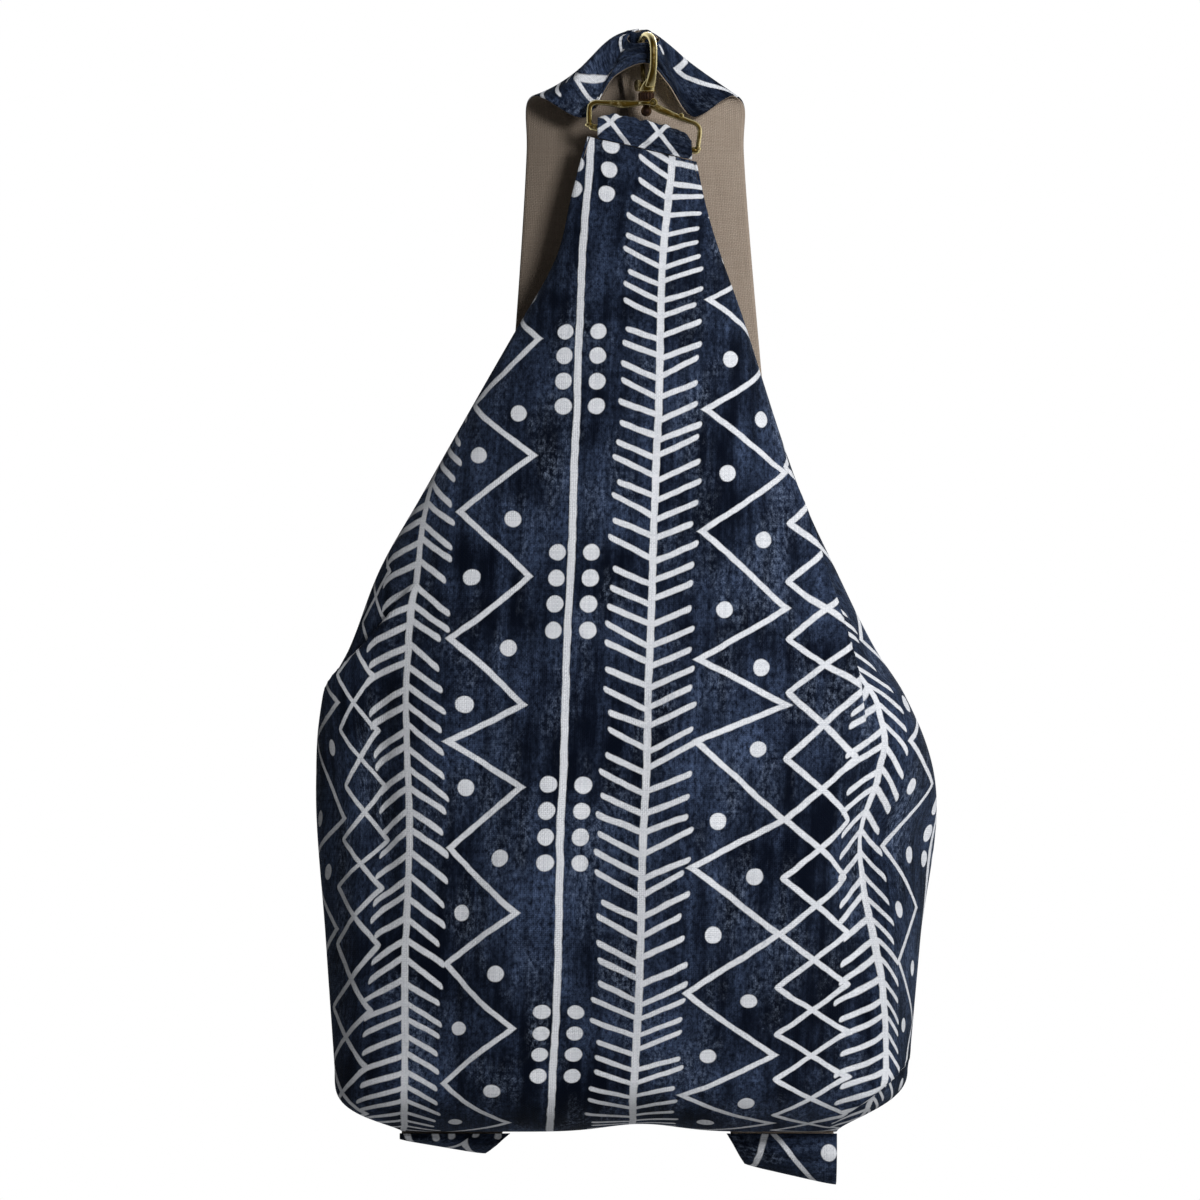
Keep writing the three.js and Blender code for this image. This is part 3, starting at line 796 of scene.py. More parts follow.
class Profile:
    """Smooth curves through values that are given at increasing places."""

    def __init__(self, places: Sequence[float], values: Sequence[Sequence[float]]) -> None:
        """Work out the slope at each place.

        Args:
            places: Where the values are given.
            values: One row of values for each place.
        """
        self.places = np.array(places, float)
        self.values = np.array(values, float)
        slopes = np.diff(self.values, axis=0) / np.diff(self.places)[:, None]
        middle = (slopes[1:] + slopes[:-1]) / 2
        self.slopes = np.vstack([slopes[:1], middle, slopes[-1:]])

    def at(self, where: Array) -> Array:
        """Return one row of values for each place asked for."""
        where = np.asarray(where, float)
        passed = np.searchsorted(self.places, where, side="right") - 1
        index = np.clip(passed, 0, len(self.places) - 2)
        width = (self.places[index + 1] - self.places[index])[:, None]
        t = (where - self.places[index])[:, None] / width
        ahead = t * t * (3 - 2 * t)
        start = self.slopes[index] * (t * (1 - t) ** 2 * width)
        end = self.slopes[index + 1] * (t * t * (1 - t) * width)
        return mix(self.values[index], self.values[index + 1], ahead) + start - end


class Route:
    """A smooth line through points, without overshoot where they are unevenly spaced."""

    def __init__(self, points: Sequence[Sequence[float]]) -> None:
        """Add one point beyond each end, in line with the last two."""
        inner = np.array(points, float)
        self.points = np.vstack([2 * inner[0] - inner[1], inner, 2 * inner[-1] - inner[-2]])

    def at(self, shares: Array) -> Array:
        """Return the points at shares of the way, counted in spans."""
        spans = len(self.points) - 3
        place = np.clip(np.asarray(shares, float), 0, 1) * spans
        index = np.minimum(place.astype(int), spans - 1)
        t = (place - index)[:, None]
        p0, p1, p2, p3 = (self.points[index + k] for k in range(4))
        legs = (p1 - p0, p2 - p1, p3 - p2)
        gaps = [np.sqrt(np.linalg.norm(leg, axis=1))[:, None] for leg in legs]
        d0, d1, d2 = (np.maximum(gap, 1e-4) for gap in gaps)
        start = ((p1 - p0) / d0 - (p2 - p0) / (d0 + d1) + (p2 - p1) / d1) * d1
        end = ((p2 - p1) / d1 - (p3 - p1) / (d1 + d2) + (p3 - p2) / d2) * d1
        square, cube = t * t, t * t * t
        return (
            (2 * cube - 3 * square + 1) * p1
            + (cube - 2 * square + t) * start
            + (3 * square - 2 * cube) * p2
            + (cube - square) * end
        )

    def even(self, count: int) -> Array:
        """Return points that are evenly spaced along the line."""
        fine = self.at(np.linspace(0, 1, count * 8))
        length = run_length(fine)
        wanted = np.linspace(0, length[-1], count)
        return np.stack([np.interp(wanted, length, fine[:, k]) for k in range(3)], axis=1)


def run_length(points: Array) -> Array:
    """Return how far along a line of points each point is."""
    steps = np.linalg.norm(np.diff(points, axis=0), axis=1)
    return np.concatenate([[0.0], np.cumsum(steps)])


def unit(vectors: Array) -> Array:
    """Return vectors of length 1 in the same directions."""
    return vectors / np.maximum(np.linalg.norm(vectors, axis=-1, keepdims=True), 1e-9)


def grid_normals(points: Array) -> Array:
    """Return the direction that each point of a grid faces."""
    down = np.gradient(points, axis=0)
    over = np.gradient(points, axis=1)
    return unit(np.cross(down, over))


def mesh_object(
    name: str,
    points: Array,
    faces: Sequence[Sequence[int]],
    flat: Array,
    materials: Sequence[Material],
    lap: Array | None = None,
) -> Piece:
    """Return a smooth-shaded mesh object in the scene.

    Args:
        name: The piece's name.
        points: The vertices, in millimetres.
        faces: The vertex indices of each face.
        flat: Each vertex's place on the flat material, in millimetres.
        materials: The material slots.
        lap: Each vertex's three lap numbers, if the piece has a lap, print left off or a painted
            shadow.

    Returns:
        The new object.
    """
    mesh = bpy.data.meshes.new(name)
    mesh.from_pydata((points * MM).tolist(), [], faces)
    layer = mesh.uv_layers.new(name=FLAT)
    corner = np.empty(len(mesh.loops), np.int32)
    mesh.loops.foreach_get("vertex_index", corner)
    layer.uv.foreach_set("vector", (flat[corner] * MM).astype(np.float32).ravel())
    if lap is not None:
        kept = mesh.attributes.new(LAP, "FLOAT_VECTOR", "POINT")
        kept.data.foreach_set("vector", lap.astype(np.float32).ravel())
    mesh.polygons.foreach_set("use_smooth", np.ones(len(mesh.polygons), bool))
    for material in materials:
        mesh.materials.append(material)
    mesh.validate()
    made = bpy.data.objects.new(name, mesh)
    bpy.context.scene.collection.objects.link(made)
    return made


def grid_faces(rows: int, columns: int, loop: bool = False) -> list[tuple[int, int, int, int]]:
    """Return the quads of a grid.

    Args:
        rows: How many rows of points there are.
        columns: How many points there are in a row.
        loop: True where each row closes on itself.

    Returns:
        Four vertex indices for each quad.
    """
    spans = columns if loop else columns - 1
    faces = []
    for r in range(rows - 1):
        here, below = r * columns, (r + 1) * columns
        for c in range(spans):
            after = (c + 1) % columns
            faces.append((here + c, below + c, below + after, here + after))
    return faces


def cloth_piece(
    name: str,
    points: Array,
    flat: Array,
    materials: Sequence[Material],
    lap: Array | None = None,
) -> Piece:
    """Return a single layer of cloth.

    Args:
        name: The piece's name.
        points: A grid of points, in millimetres.
        flat: The grid's places on the flat cloth, in millimetres.
        materials: The material slots.
        lap: The grid's lap numbers, if it has a lap, print left off or a painted shadow.

    Returns:
        The new piece.
    """
    rows, columns = points.shape[:2]
    faces = grid_faces(rows, columns)
    return mesh_object(name, points.reshape(-1, 3), faces, flat.reshape(-1, 2), materials, lap)


def thicken(piece: Piece, wall: float, inside: int = 0) -> None:
    """Give a layer of cloth its thickness, on the side that it doesn't face.

    Args:
        piece: The layer.
        wall: The thickness in millimetres.
        inside: How many material slots further the inside's material is.
    """
    solidify = piece.modifiers.new("wall", "SOLIDIFY")
    solidify.thickness = wall * MM
    solidify.offset = -1.0
    solidify.use_even_offset = False
    solidify.material_offset = inside


def flat_lengths(points: Array, middle: int) -> Array:
    """Return flat places for a grid: across from a column, and down along that column.

    Args:
        points: The grid.
        middle: The column that counts as the middle.

    Returns:
        Two numbers for each point.
    """
    steps = np.linalg.norm(np.diff(points, axis=1), axis=2)
    across = np.concatenate([np.zeros((len(points), 1)), np.cumsum(steps, axis=1)], axis=1)
    across -= across[:, middle : middle + 1]
    down = np.repeat(run_length(points[:, middle])[:, None], points.shape[1], axis=1)
    return np.stack([across, down], axis=2)


# Pieces


def settle(piece: Piece, body: Body, slot: Slot, *nodes: str) -> Piece:
    """Tie a piece to its body and hide the solids that it stands for.

    Args:
        piece: The finished piece.
        body: What it moves with.
        slot: Not used.
        nodes: The solids that it replaces.

    Returns:
        The same piece.
    """
    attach(piece, body.value)
    if nodes:
        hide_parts(*nodes)
    log.info("%s: %d faces, on %s", piece.name, len(piece.data.polygons), body.value)
    return piece


@dataclass(frozen=True)
class Level:
    """One height of the bag: its drop, its reach each way, and the front's wrap in degrees."""

    drop: float
    left: float
    right: float
    front: float
    back: float
    wrap: float


@dataclass(frozen=True)
class FoldLine:
    """A line on the front from start to end, each given as (across, drop)."""

    start: Pair
    end: Pair

    def run(self) -> Triple:
        """Return how far the line goes across and down, and its length."""
        run_x, run_d = self.end[0] - self.start[0], self.end[1] - self.start[1]
        return run_x, run_d, math.hypot(run_x, run_d)

    def share(self, across: Array, drop: Array) -> Array:
        """Return how far along the line each point lies, from 0 at its start to 1 at its end."""
        run_x, run_d, length = self.run()
        from_x, from_d = across - self.start[0], drop - self.start[1]
        return (from_x * run_x + from_d * run_d) / length**2

    def beyond(self, across: Array, drop: Array) -> Array:
        """Return how far each point lies past the line, on the side that sinks."""
        run_x, run_d, length = self.run()
        from_x, from_d = across - self.start[0], drop - self.start[1]
        return (run_x * from_d - run_d * from_x) / length


@dataclass(frozen=True)
class Tuck(FoldLine):
    """A fold of the front: one side of the line laps over the other, which sinks behind it."""

    rise: float
    sink: float
    reach: float
    lap: float = 3.0
    edge: float = 1.6

    def offsets(self, across: Array, drop: Array) -> tuple[Array, Array, Array]:
        """Return how far the cloth moves outwards, across and down at each point."""
        run_x, run_d, length = self.run()
        share, off = self.share(across, drop), self.beyond(across, drop)
        fade = smoothstep(share, -0.25, 0.2) * (1 - smoothstep(share, 0.8, 1.25))
        near = self.rise * np.exp(-((off / self.reach) ** 2))
        far = (self.rise + self.sink) * np.exp(-np.maximum(off, 0) / self.reach)
        out = fade * (near - smoothstep(off, -self.edge, self.edge) * far)
        over = smoothstep(off, -self.reach * 0.7, -1.0) * (1 - smoothstep(off, 0.5, 4.0))
        lap = fade * self.lap * over
        return out, lap * -run_d / length, lap * run_x / length


@dataclass(frozen=True)
class Ripple(FoldLine):
    """A soft ridge along a line, or a hollow if its height is negative."""

    height: float
    width: float

    def offset(self, across: Array, drop: Array) -> Array:
        """Return how far the cloth moves outwards at each point."""
        share = self.share(across, drop)
        fade = smoothstep(share, -0.3, 0.25) * (1 - smoothstep(share, 0.7, 1.3))
        return self.height * fade * np.exp(-((self.beyond(across, drop) / self.width) ** 2))


@dataclass
class Bag:
    """The front and back panel, lofted through the bag's levels and folded where it is tucked."""

    finishes: Finishes
    levels: tuple[Level, ...] = (
        Level(56, 24, 28.5, 0.8, 0.8, 0),
        Level(84, 31.5, 34.7, 6, 6, 20),
        Level(110, 38.5, 42, 11.5, 9.5, 24),
        Level(138, 55, 51, 18, 14, 26),
        Level(222, 103, 79, 40, 30, 26),
        Level(259, 124, 96, 48.5, 38.5, 26),
        Level(296, 138.5, 114.5, 56, 46, 26),
        Level(318, 149.5, 128.5, 59.5, 50, 26),
        Level(360, 153.8, 142.5, 64, 55.5, 26),
        Level(436, 149.7, 135.3, 62, 56, 26),
        Level(498, 145.4, 130, 52, 48, 22),
    )
    shoulder: int = 3
    belly: int = 8
    bottom: Level = Level(528, 113, 96, 0, 0, 0)
    fullness: Pair = (4, 2.5)
    corner_fall: float = 1.45
    mouth_drop: float = 226
    neck_tilt: float = 13
    seam_gap: float = 0.4
    wall: float = 1.6
    columns: int = 224
    rows: int = 150
    back_columns: int = 110
    back_rows: int = 120
    bottom_rows: int = 28
    print_lean: float = 0.0354
    drape_depth: float = 1.6
    drape_folds: float = 5
    tucks: tuple[Tuck, ...] = (
        Tuck((105.6, 322.3), (75.2, 216.8), 4, 9, 18, 4.0),
        Tuck((-112, 272), (-150, 316), 3, 6, 16, 1.0),
        Tuck((90, 526), (126, 496), 3, 7, 10, 2.0),
    )
    ripples: tuple[Ripple, ...] = (
        Ripple((20, 470), (36, 330), 1.6, 14),
        Ripple((-40, 500), (-20, 300), -1.8, 16),
        Ripple((-75, 500), (-62, 380), 1.6, 10),
        Ripple((62, 500), (80, 400), -1.6, 10),
        Ripple((118, 470), (128, 330), 2.2, 8),
        Ripple((104, 470), (112, 350), -2.4, 8),
        Ripple((-126, 300), (-118, 420), -2.4, 7),
        Ripple((-138, 330), (-132, 470), 2.0, 7),
        Ripple((-14, 100), (-22, 190), -0.8, 7),
        Ripple((30, 110), (44, 200), 0.8, 8),
    )
    sway: Table = (
        (316, 2), (331, 4.4), (340, 4.9), (355, 1), (360, 0), (384, -8.7), (404, -6),
        (434, 1.4), (453, 5.2), (475, 7.6), (494, 7.7), (504, 5), (530, 3),
    )
    sway_edge: Table = (
        (316, 110), (353, 106), (402, 98), (429, 100), (453, 104), (482, 104), (530, 102),
    )
    sway_soft: float = 10.0
    sway_top: Pair = (306.0, 318.0)
    hidden: Table = (
        (200, 50), (262, 50), (272, 36), (279, 28), (297, 14), (312, 4), (320, 0), (325, 0),
        (530, 0),
    )
    left_sway: Table = (
        (258, -0.8), (292, -2.6), (321, -2.4), (340, -1.4), (360, 0.5), (388, 2.1), (436, 2),
        (465, 2.9), (494, 3.3), (530, 3.5),
    )
    left_soft: Pair = (60.0, 90.0)
    flank_near: Table = (
        (310, 0.58), (336, 0.66), (362, 0.83), (389, 0.96), (412, 0.81), (439, 0.84),
        (470, 0.65), (497, 0.57), (530, 0.55),
    )
    flank_far: Table = ((320, 2.0), (360, 1.8), (389, 1.42), (439, 1.2), (530, 1.1))
    flank_start: float = 102.5
    flank_turn: float = 10.7
    flank_soft: float = 2.5
    flank_blend: float = 6.0
    right_far: Table = (
        (300, 1.0), (316, 1.15), (340, 1.4), (357, 1.52), (398, 1.9), (425, 2.0), (455, 2.3),
        (480, 2.5), (530, 2.2),
    )
    right_start: float = 132.0
    right_reach: float = 36.0
    lean_from: float = 51.0
    neck_shift: Triple = (2.5, 56.0, 110.0)
    neck_lift: Triple = (9.0, 57.0, 160.0)
    collar_slope: Triple = (0.35, 60.0, 100.0)
    collar_start: float = 15.0
    under_gain: float = 0.19
    under_start: float = 459.0
    bottom_rise: float = 3.8
    bottom_middle: float = 2.0
    bottom_width: float = 24.0
    bottom_reach: float = 30.0

    def rings(self, top: float, rows: int) -> dict[str, Array]:
        """Return the bag's levels from a drop down to the bottom seam.

        Args:
            top: The drop of the first row.
            rows: How many spans there are above the base.

        Returns:
            One array for each measure of a level.
        """
        names = ("left", "right", "front", "back", "wrap")
        outline = Profile(
            [level.drop for level in self.levels],
            [[getattr(level, name) for name in names] for level in self.levels],
        )
        base = self.levels[-1]
        drops = np.linspace(top, base.drop, rows + 1)
        side = outline.at(drops)
        seam_turn = math.acos(self.seam_gap / 2 / base.front)
        turn = np.linspace(0, seam_turn, self.bottom_rows + 1)[1:]
        shrink = np.cos(turn)
        left, right = ((1 - np.sin(turn) ** full) ** self.corner_fall for full in self.fullness)
        under = {
            "left": mix(self.bottom.left, base.left, left),
            "right": mix(self.bottom.right, base.right, right),
            "front": base.front * shrink,
            "back": base.back * shrink,
            "wrap": base.wrap * shrink,
        }
        rings = {name: np.concatenate([side[:, k], under[name]]) for k, name in enumerate(names)}
        under_drop = base.drop + (self.bottom.drop - base.drop) * np.sin(turn)
        rings["drop"] = np.concatenate([drops, under_drop])
        return rings

    @staticmethod
    def loft(rings: dict[str, Array], angles: Array) -> Array:
        """Return the points of the rings at one row of angles for each ring."""
        across, out = np.cos(angles), np.sin(angles)
        x = across * np.where(across < 0, rings["left"][:, None], rings["right"][:, None])
        y = out * np.where(out < 0, rings["front"][:, None], rings["back"][:, None])
        z = np.repeat(-rings["drop"][:, None], angles.shape[1], axis=1)
        return np.stack([x, y, z], axis=2)

    def slope_neck(self, points: Array, drops: Array) -> None:
        """Tilt the neck's top edge as the clasp pulls it."""
        hold = 1 - smoothstep(drops, self.levels[0].drop, self.levels[self.shoulder].drop)
        points[:, :, 2] -= math.tan(math.radians(self.neck_tilt)) * points[:, :, 0] * hold[:, None]

    def fold(self, points: Array, rings: dict[str, Array], angles: Array) -> Array:
        """Return the points of the front after its tucks, ripples and slack.

        Args:
            points: The smooth front.
            rings: The levels of its rows.
            angles: The angle of each point round its ring.

        Returns:
            The folded front.
        """
        belly = self.levels[self.belly]
        across, drop = points[:, :, 0], np.repeat(rings["drop"][:, None], points.shape[1], axis=1)
        swell = smoothstep(drop, self.levels[self.shoulder].drop, belly.drop)
        wave = np.sin(across / belly.left * self.drape_folds * math.pi + drop / belly.front)
        out = self.drape_depth * swell * wave
        shift = np.zeros_like(points)
        for ripple in self.ripples:
            out = out + ripple.offset(across, drop)
        for tuck in self.tucks:
            stand, over, down = tuck.offsets(across, drop)
            out = out + stand
            shift[:, :, 0] += over
            shift[:, :, 2] -= down
        frontness = smoothstep(-np.sin(angles), -0.1, 0.25)
        limp = np.minimum(1, rings["front"] / belly.front)[:, None] * frontness
        aside = np.cos(angles) * rings["front"][:, None]
        ahead = np.sin(angles) * rings["left"][:, None]
        facing = unit(np.stack([aside, ahead, np.zeros_like(angles)], axis=2))
        return points + (facing * out[:, :, None] + shift) * limp[:, :, None]

    @staticmethod
    def read(table: Table, drops: Array) -> Array:
        """Return a column of a table's values at some drops; past its ends the last value holds."""
        places = np.clip(drops, table[0][0], table[-1][0])
        return Profile([place for place, _ in table], [[value] for _, value in table]).at(places)

    @staticmethod
    def fading(size: Triple, drop: Array) -> Array:
        """Return a size that fades away from one drop to another."""
        amount, low, high = size
        return amount * (1 - smoothstep(drop, low, high))

    def front_flat(self, points: Array, middle: int) -> Array:
        """Return the front's places on the flat cloth, leaning and swaying as it hangs.

        Args:
            points: The smooth front.
            middle: Its middle column.

        Returns:
            Two numbers for each point.
        """
        flat = flat_lengths(points, middle)
        across, drop = points[:, :, 0], -points[:, :, 2]
        rows = drop[:, middle]
        sway, edge = self.read(self.sway, rows), self.read(self.sway_edge, rows)
        left_sway, right_far = self.read(self.left_sway, rows), self.read(self.right_far, rows)
        near, far = self.read(self.flank_near, rows), self.read(self.flank_far, rows)
        v = flat[:, :, 1] + self.levels[0].drop
        v = v - self.fading(self.neck_lift, drop)
        v = v - np.maximum(across - self.collar_start, 0) * self.fading(self.collar_slope, drop)
        v = v + self.under_gain * np.maximum(drop - self.under_start, 0)
        u = flat[:, :, 0] + self.print_lean * (drop[:, middle : middle + 1] - self.lean_from)
        u = u - self.fading(self.neck_shift, drop)
        right = smoothstep(across - edge, -self.sway_soft, self.sway_soft)
        u = u - sway * right * smoothstep(drop, *self.sway_top)
        u = u + (right_far - 1) * np.clip(u - self.right_start, 0, self.right_reach)
        u = u - left_sway * smoothstep(-u, *self.left_soft)
        left = np.maximum(-u - self.flank_start, 0)
        past = left - self.flank_turn / near
        turned = (past + np.hypot(past, self.flank_soft)) / 2
        turned = turned * smoothstep(left, 0, self.flank_blend)
        return np.stack([u + (1 - near) * left - (far - near) * turned, v], axis=2)

    def front_lap(self, points: Array) -> Array:
        """Return the smooth front's lap numbers at its first tuck, which hides more higher up."""
        across, drop = points[:, :, 0].ravel(), -points[:, :, 2].ravel()
        hidden = self.read(self.hidden, drop)[:, 0]
        past = self.tucks[0].beyond(across, drop)
        return np.stack([past, hidden, np.zeros_like(drop)], axis=1) * MM

    def lift_bottom(self, points: Array) -> None:
        """Draw the bottom seam up a little in its middle."""
        top = self.levels[-1].drop - self.bottom_reach
        under = smoothstep(-points[:, :, 2], top, self.bottom.drop)
        hump = np.exp(-(((points[:, :, 0] - self.bottom_middle) / self.bottom_width) ** 2))
        points[:, :, 2] += self.bottom_rise * under * hump

    def panel(
        self, name: str, points: Array, flat: Array, lap: Array | None = None
    ) -> Piece:
        """Return a panel with its wall: print outside and linen inside.

        Args:
            name: The piece's name.
            points: The grid of its outside.
            flat: The grid's places on the flat cloth.
            lap: Its lap numbers, if it has a lap.

        Returns:
            The new piece.
        """
        cloths = [self.finishes.print, self.finishes.linen]
        piece = cloth_piece(name, points, flat, cloths, lap)
        thicken(piece, self.wall, 1)
        return piece

    def front_panel(self) -> Piece:
        """Return the printed front."""
        rings = self.rings(self.levels[0].drop, self.rows)
        wrap = np.radians(rings["wrap"])[:, None]
        share = np.linspace(0, 1, self.columns + 1)[None]
        angles = mix(math.pi - wrap, 2 * math.pi + wrap, share)
        smooth = self.loft(rings, angles)
        flat = self.front_flat(smooth, self.columns // 2)
        points = self.fold(smooth, rings, angles)
        self.slope_neck(points, rings["drop"])
        self.lift_bottom(points)
        piece = self.panel("front", points, flat, self.front_lap(smooth))
        return settle(piece, Body.BAG, Slot.PRINT, "front_panel")

    def back_panel(self) -> Piece:
        """Return the printed back, which ends at the mouth."""
        rings = self.rings(self.mouth_drop, self.back_rows)
        wrap = np.radians(rings["wrap"])[:, None]
        share = np.linspace(0, 1, self.back_columns + 1)[None]
        points = self.loft(rings, mix(wrap, math.pi - wrap, share))
        flat = flat_lengths(points, self.back_columns // 2)
        points[:, :, 1] += self.seam_gap
        self.lift_bottom(points)
        piece = self.panel("back", points, flat)
        return settle(piece, Body.BAG, Slot.PRINT, "back_panel")

    def build(self) -> None:
        """Make both panels."""
        self.front_panel()
        self.back_panel()


@dataclass
class NeckTab:
    """The piece of print that loops over the eye's bar and is sewn to the neck."""

    finishes: Finishes
    bar_drop: float = 50.9
    tilt: float = 13
    left: float = -19.0
    right: float = 26.2
    rise: float = 9.0
    end_drop: float = 4.2
    seam: float = 4.7
    foot: float = 1.6
    half_depth: float = 3.6
    wall: float = 1.4
    crumple: float = 0.16
    steps: int = 72
    leg_steps: int = 14
    arc_steps: int = 40
    lattice_middle: float = 101.0
    lattice_rise: float = 8.4
    lattice_start: float = -16.2
    print_stretch: Pair = (1.25, 1.19)

    def section(self, rise: float) -> Array:
        """Return the section from the front seam over the bar to the back, as (out, height)."""
        turns = np.linspace(math.pi, 0, self.arc_steps)
        arc = np.stack([self.half_depth * np.cos(turns), rise * np.sin(turns) ** 0.8], axis=1)
        down = np.linspace(0, 1, self.leg_steps, endpoint=False)
        share = smoothstep(down, 0, 1)
        out = -mix(self.foot, self.half_depth, share)
        leg = np.stack([out, mix(-self.seam, 0.0, down)], axis=1)
        return np.vstack([leg, arc, leg[::-1] * [-1, 1]])

    def build(self) -> Piece:
        """Make the tab."""
        places = np.linspace(self.left, self.right, self.steps)
        rows = []
        for x, share in zip(places, np.linspace(-1, 1, self.steps)):
            pucker = 0.35 * math.sin(share * 17) + 0.25 * math.sin(share * 29 + 1)
            section = self.section(self.rise - self.end_drop * abs(share) ** 5 + pucker)
            height = -self.bar_drop - math.tan(math.radians(self.tilt)) * x
            out, up = section.T
            out = out + self.crumple * np.sin(up * 0.8 + share * 9) * np.sign(out)
            rows.append(np.stack([np.full(len(section), x), out, height + up], axis=1))
        points = np.array(rows).transpose(1, 0, 2)
        length = run_length(points[:, self.steps // 2])
        down = np.repeat(length[:, None], self.steps, axis=1)
        up, over = self.print_stretch
        across = self.lattice_middle + (self.lattice_rise - down) * up
        flat = np.stack([across, (points[:, :, 0] - self.lattice_start) * over], axis=2)
        piece = cloth_piece("neck_loop", points[::-1], flat[::-1], [self.finishes.print])
        thicken(piece, self.wall)
        return settle(piece, Body.BAG, Slot.PRINT, "neck_tab")


@dataclass(frozen=True)
class StrapSide:
    """One side of the strap: how its edges run, how it folds at the top, how its print lies and how
    much painted shadow darkens its linen.
    """

    side: float
    seam_edge: float
    hang_out: float
    hang_in: float
    hip_edge: float
    belly_edge: float
    flank_edge: float
    top_edge: float
    top_in: float
    rise: float
    corner_out: float
    corner_drop: float
    peak_out: float
    peak_rise: float
    crest_wave: float
    fold_out: float
    tip_out: float
    tip_drop: float
    gather_out: float
    gather_drop: float
    print_at: Pair
    print_turn: Pair
    fold: float = 8.0
    crest_lift: float = 0.0
    hang_tuck: float = 0.0
    # How much painted shadow darkens this side's linen, from 0 to 1.
    shade: float = 0.0


@dataclass
class Strap:
    """The one long strap: print outside, linen inside, folded forward and gathered in the hook."""

    finishes: Finishes
    left: StrapSide = StrapSide(
        side=-1, seam_edge=114, hang_out=3, hang_in=10, hip_edge=103, belly_edge=86, flank_edge=66,
        top_edge=53.3, top_in=4, rise=21, corner_out=49.5, corner_drop=30, peak_out=-1,
        peak_rise=0.4, crest_wave=3, fold_out=4.5, tip_out=25, tip_drop=41, gather_out=11,
        gather_drop=21.5, print_at=(-85, 22.4), print_turn=(0.3, 578), fold=15, crest_lift=1.4,
        hang_tuck=12, shade=1,
    )
    right: StrapSide = StrapSide(
        side=1, seam_edge=96, hang_out=25, hang_in=15, hip_edge=90, belly_edge=79, flank_edge=66,
        top_edge=51.6, top_in=-7, rise=16.8, corner_out=47, corner_drop=30, peak_out=1.5,
        peak_rise=0.8, crest_wave=0, fold_out=10.5, tip_out=27, tip_drop=40.5, gather_out=15,
        gather_drop=25, print_at=(40, 38.3), print_turn=(-0.75, 607), fold=8, crest_lift=0.8,
        hang_tuck=9,
    )
    width: float = 53
    layer: float = 0.8
    gap: float = 0.4
    clear: float = 9
    bundle_top: float = 5.5
    bundle_bottom: float = 15.5
    pleat: float = 1.1
    pleats: float = 3.0
    bundle_at: Pair = (5.0, -1.1)
    columns: int = 36
    rows_per_span: int = 17
    turned_length: float = 40.0
    # Rows each side of the middle where the print is left off, so that the gathers show plain dark
    # ground as painted shade.
    bare_rows: int = 22
    bare_patch: tuple[int, int, int] = (36, 51, 6)
    bottom_drop: float = 528
    base_drop: float = 498
    base_back: float = 48
    backs: Table = ((436, 56), (360, 55.5), (222, 30))
    crest_stations: tuple[int, int] = (9, 17)
    ruffle_cells: tuple[int, int] = (14, 40)
    ruffle_ends: Pair = (-7.5, 9.5)
    ruffle_back: float = 8.4
    ruffle_depth: float = 1.1
    ruffle_belly: float = 3.5
    ruffle_top: float = 1.0
    ruffle_fall: float = 11.0
    ruffle_flat: Pair = (17.0, 12.0)

    def stations(self, at: StrapSide) -> list[tuple[Array, Array, float, float]]:
        """Return the edges, pleating and crest wave from the bottom seam to the hook.

        Args:
            at: The sizes of the side.

        Returns:
            The outer edge, inner edge, pleating and wave of each station.
        """
        seam = self.bottom_drop + self.layer + self.gap
        front = at.rise - at.fold
        crest = at.rise - at.fold / 2

        def spread(outer: Triple, inner: Triple, pleat: float = 0.0, wave: float = 0.0) -> tuple:
            """Return a station between two edges, each given as (across, back, drop)."""
            turned = [np.array([at.side * x, y, -drop]) for x, y, drop in (outer, inner)]
            return turned[0], turned[1], pleat, wave

        def lying(edge: float, y: float, drop: float) -> tuple:
            """Return a station where the strap lies flat behind the bag."""
            return spread((edge, y, drop), (edge - self.width, y, drop))

        def hanging(y: float, share: float) -> tuple:
            """Return a station under the bottom seam, hanging a share of the way down."""
            outer = (at.seam_edge, y, seam + at.hang_out * share)
            inner = at.seam_edge - self.width + at.hang_tuck * share
            return spread(outer, (inner, y, seam + at.hang_in * share))

        edges = (at.hip_edge, at.belly_edge, at.flank_edge)
        behind = [
            lying(edge, back + self.clear, drop) for edge, (drop, back) in zip(edges, self.backs)
        ]
        fold_drop = self.bundle_top / 2
        return [
            hanging(self.layer + self.gap, 0.0),
            hanging(self.layer * 2, 0.5),
            hanging(self.base_back * 0.25, 1.0),
            hanging(self.base_back * 0.75, 0.4),
            lying(at.seam_edge - 1, self.base_back + self.clear, self.base_drop + self.clear),
            *behind,
            lying(at.top_edge, at.rise, at.corner_drop + self.width / 2),
            spread((at.top_edge, at.rise, at.corner_drop + 4), (at.top_in, at.rise, 9)),
            spread(
                (at.corner_out, crest, at.corner_drop),
                (at.peak_out, crest, -at.peak_rise),
                wave=at.crest_wave,
            ),
            spread(
                (at.corner_out - 5, front, at.corner_drop + 2),
                (at.fold_out, front, fold_drop),
                0.2,
                at.crest_wave,
            ),
            spread((at.tip_out, front, at.tip_drop), (at.fold_out, front - 1, fold_drop + 1), 0.5),
            spread(
                (at.gather_out, front / 3, at.gather_drop),
                (at.fold_out - 2, front / 3, self.bundle_top),
                0.8,
            ),
        ]

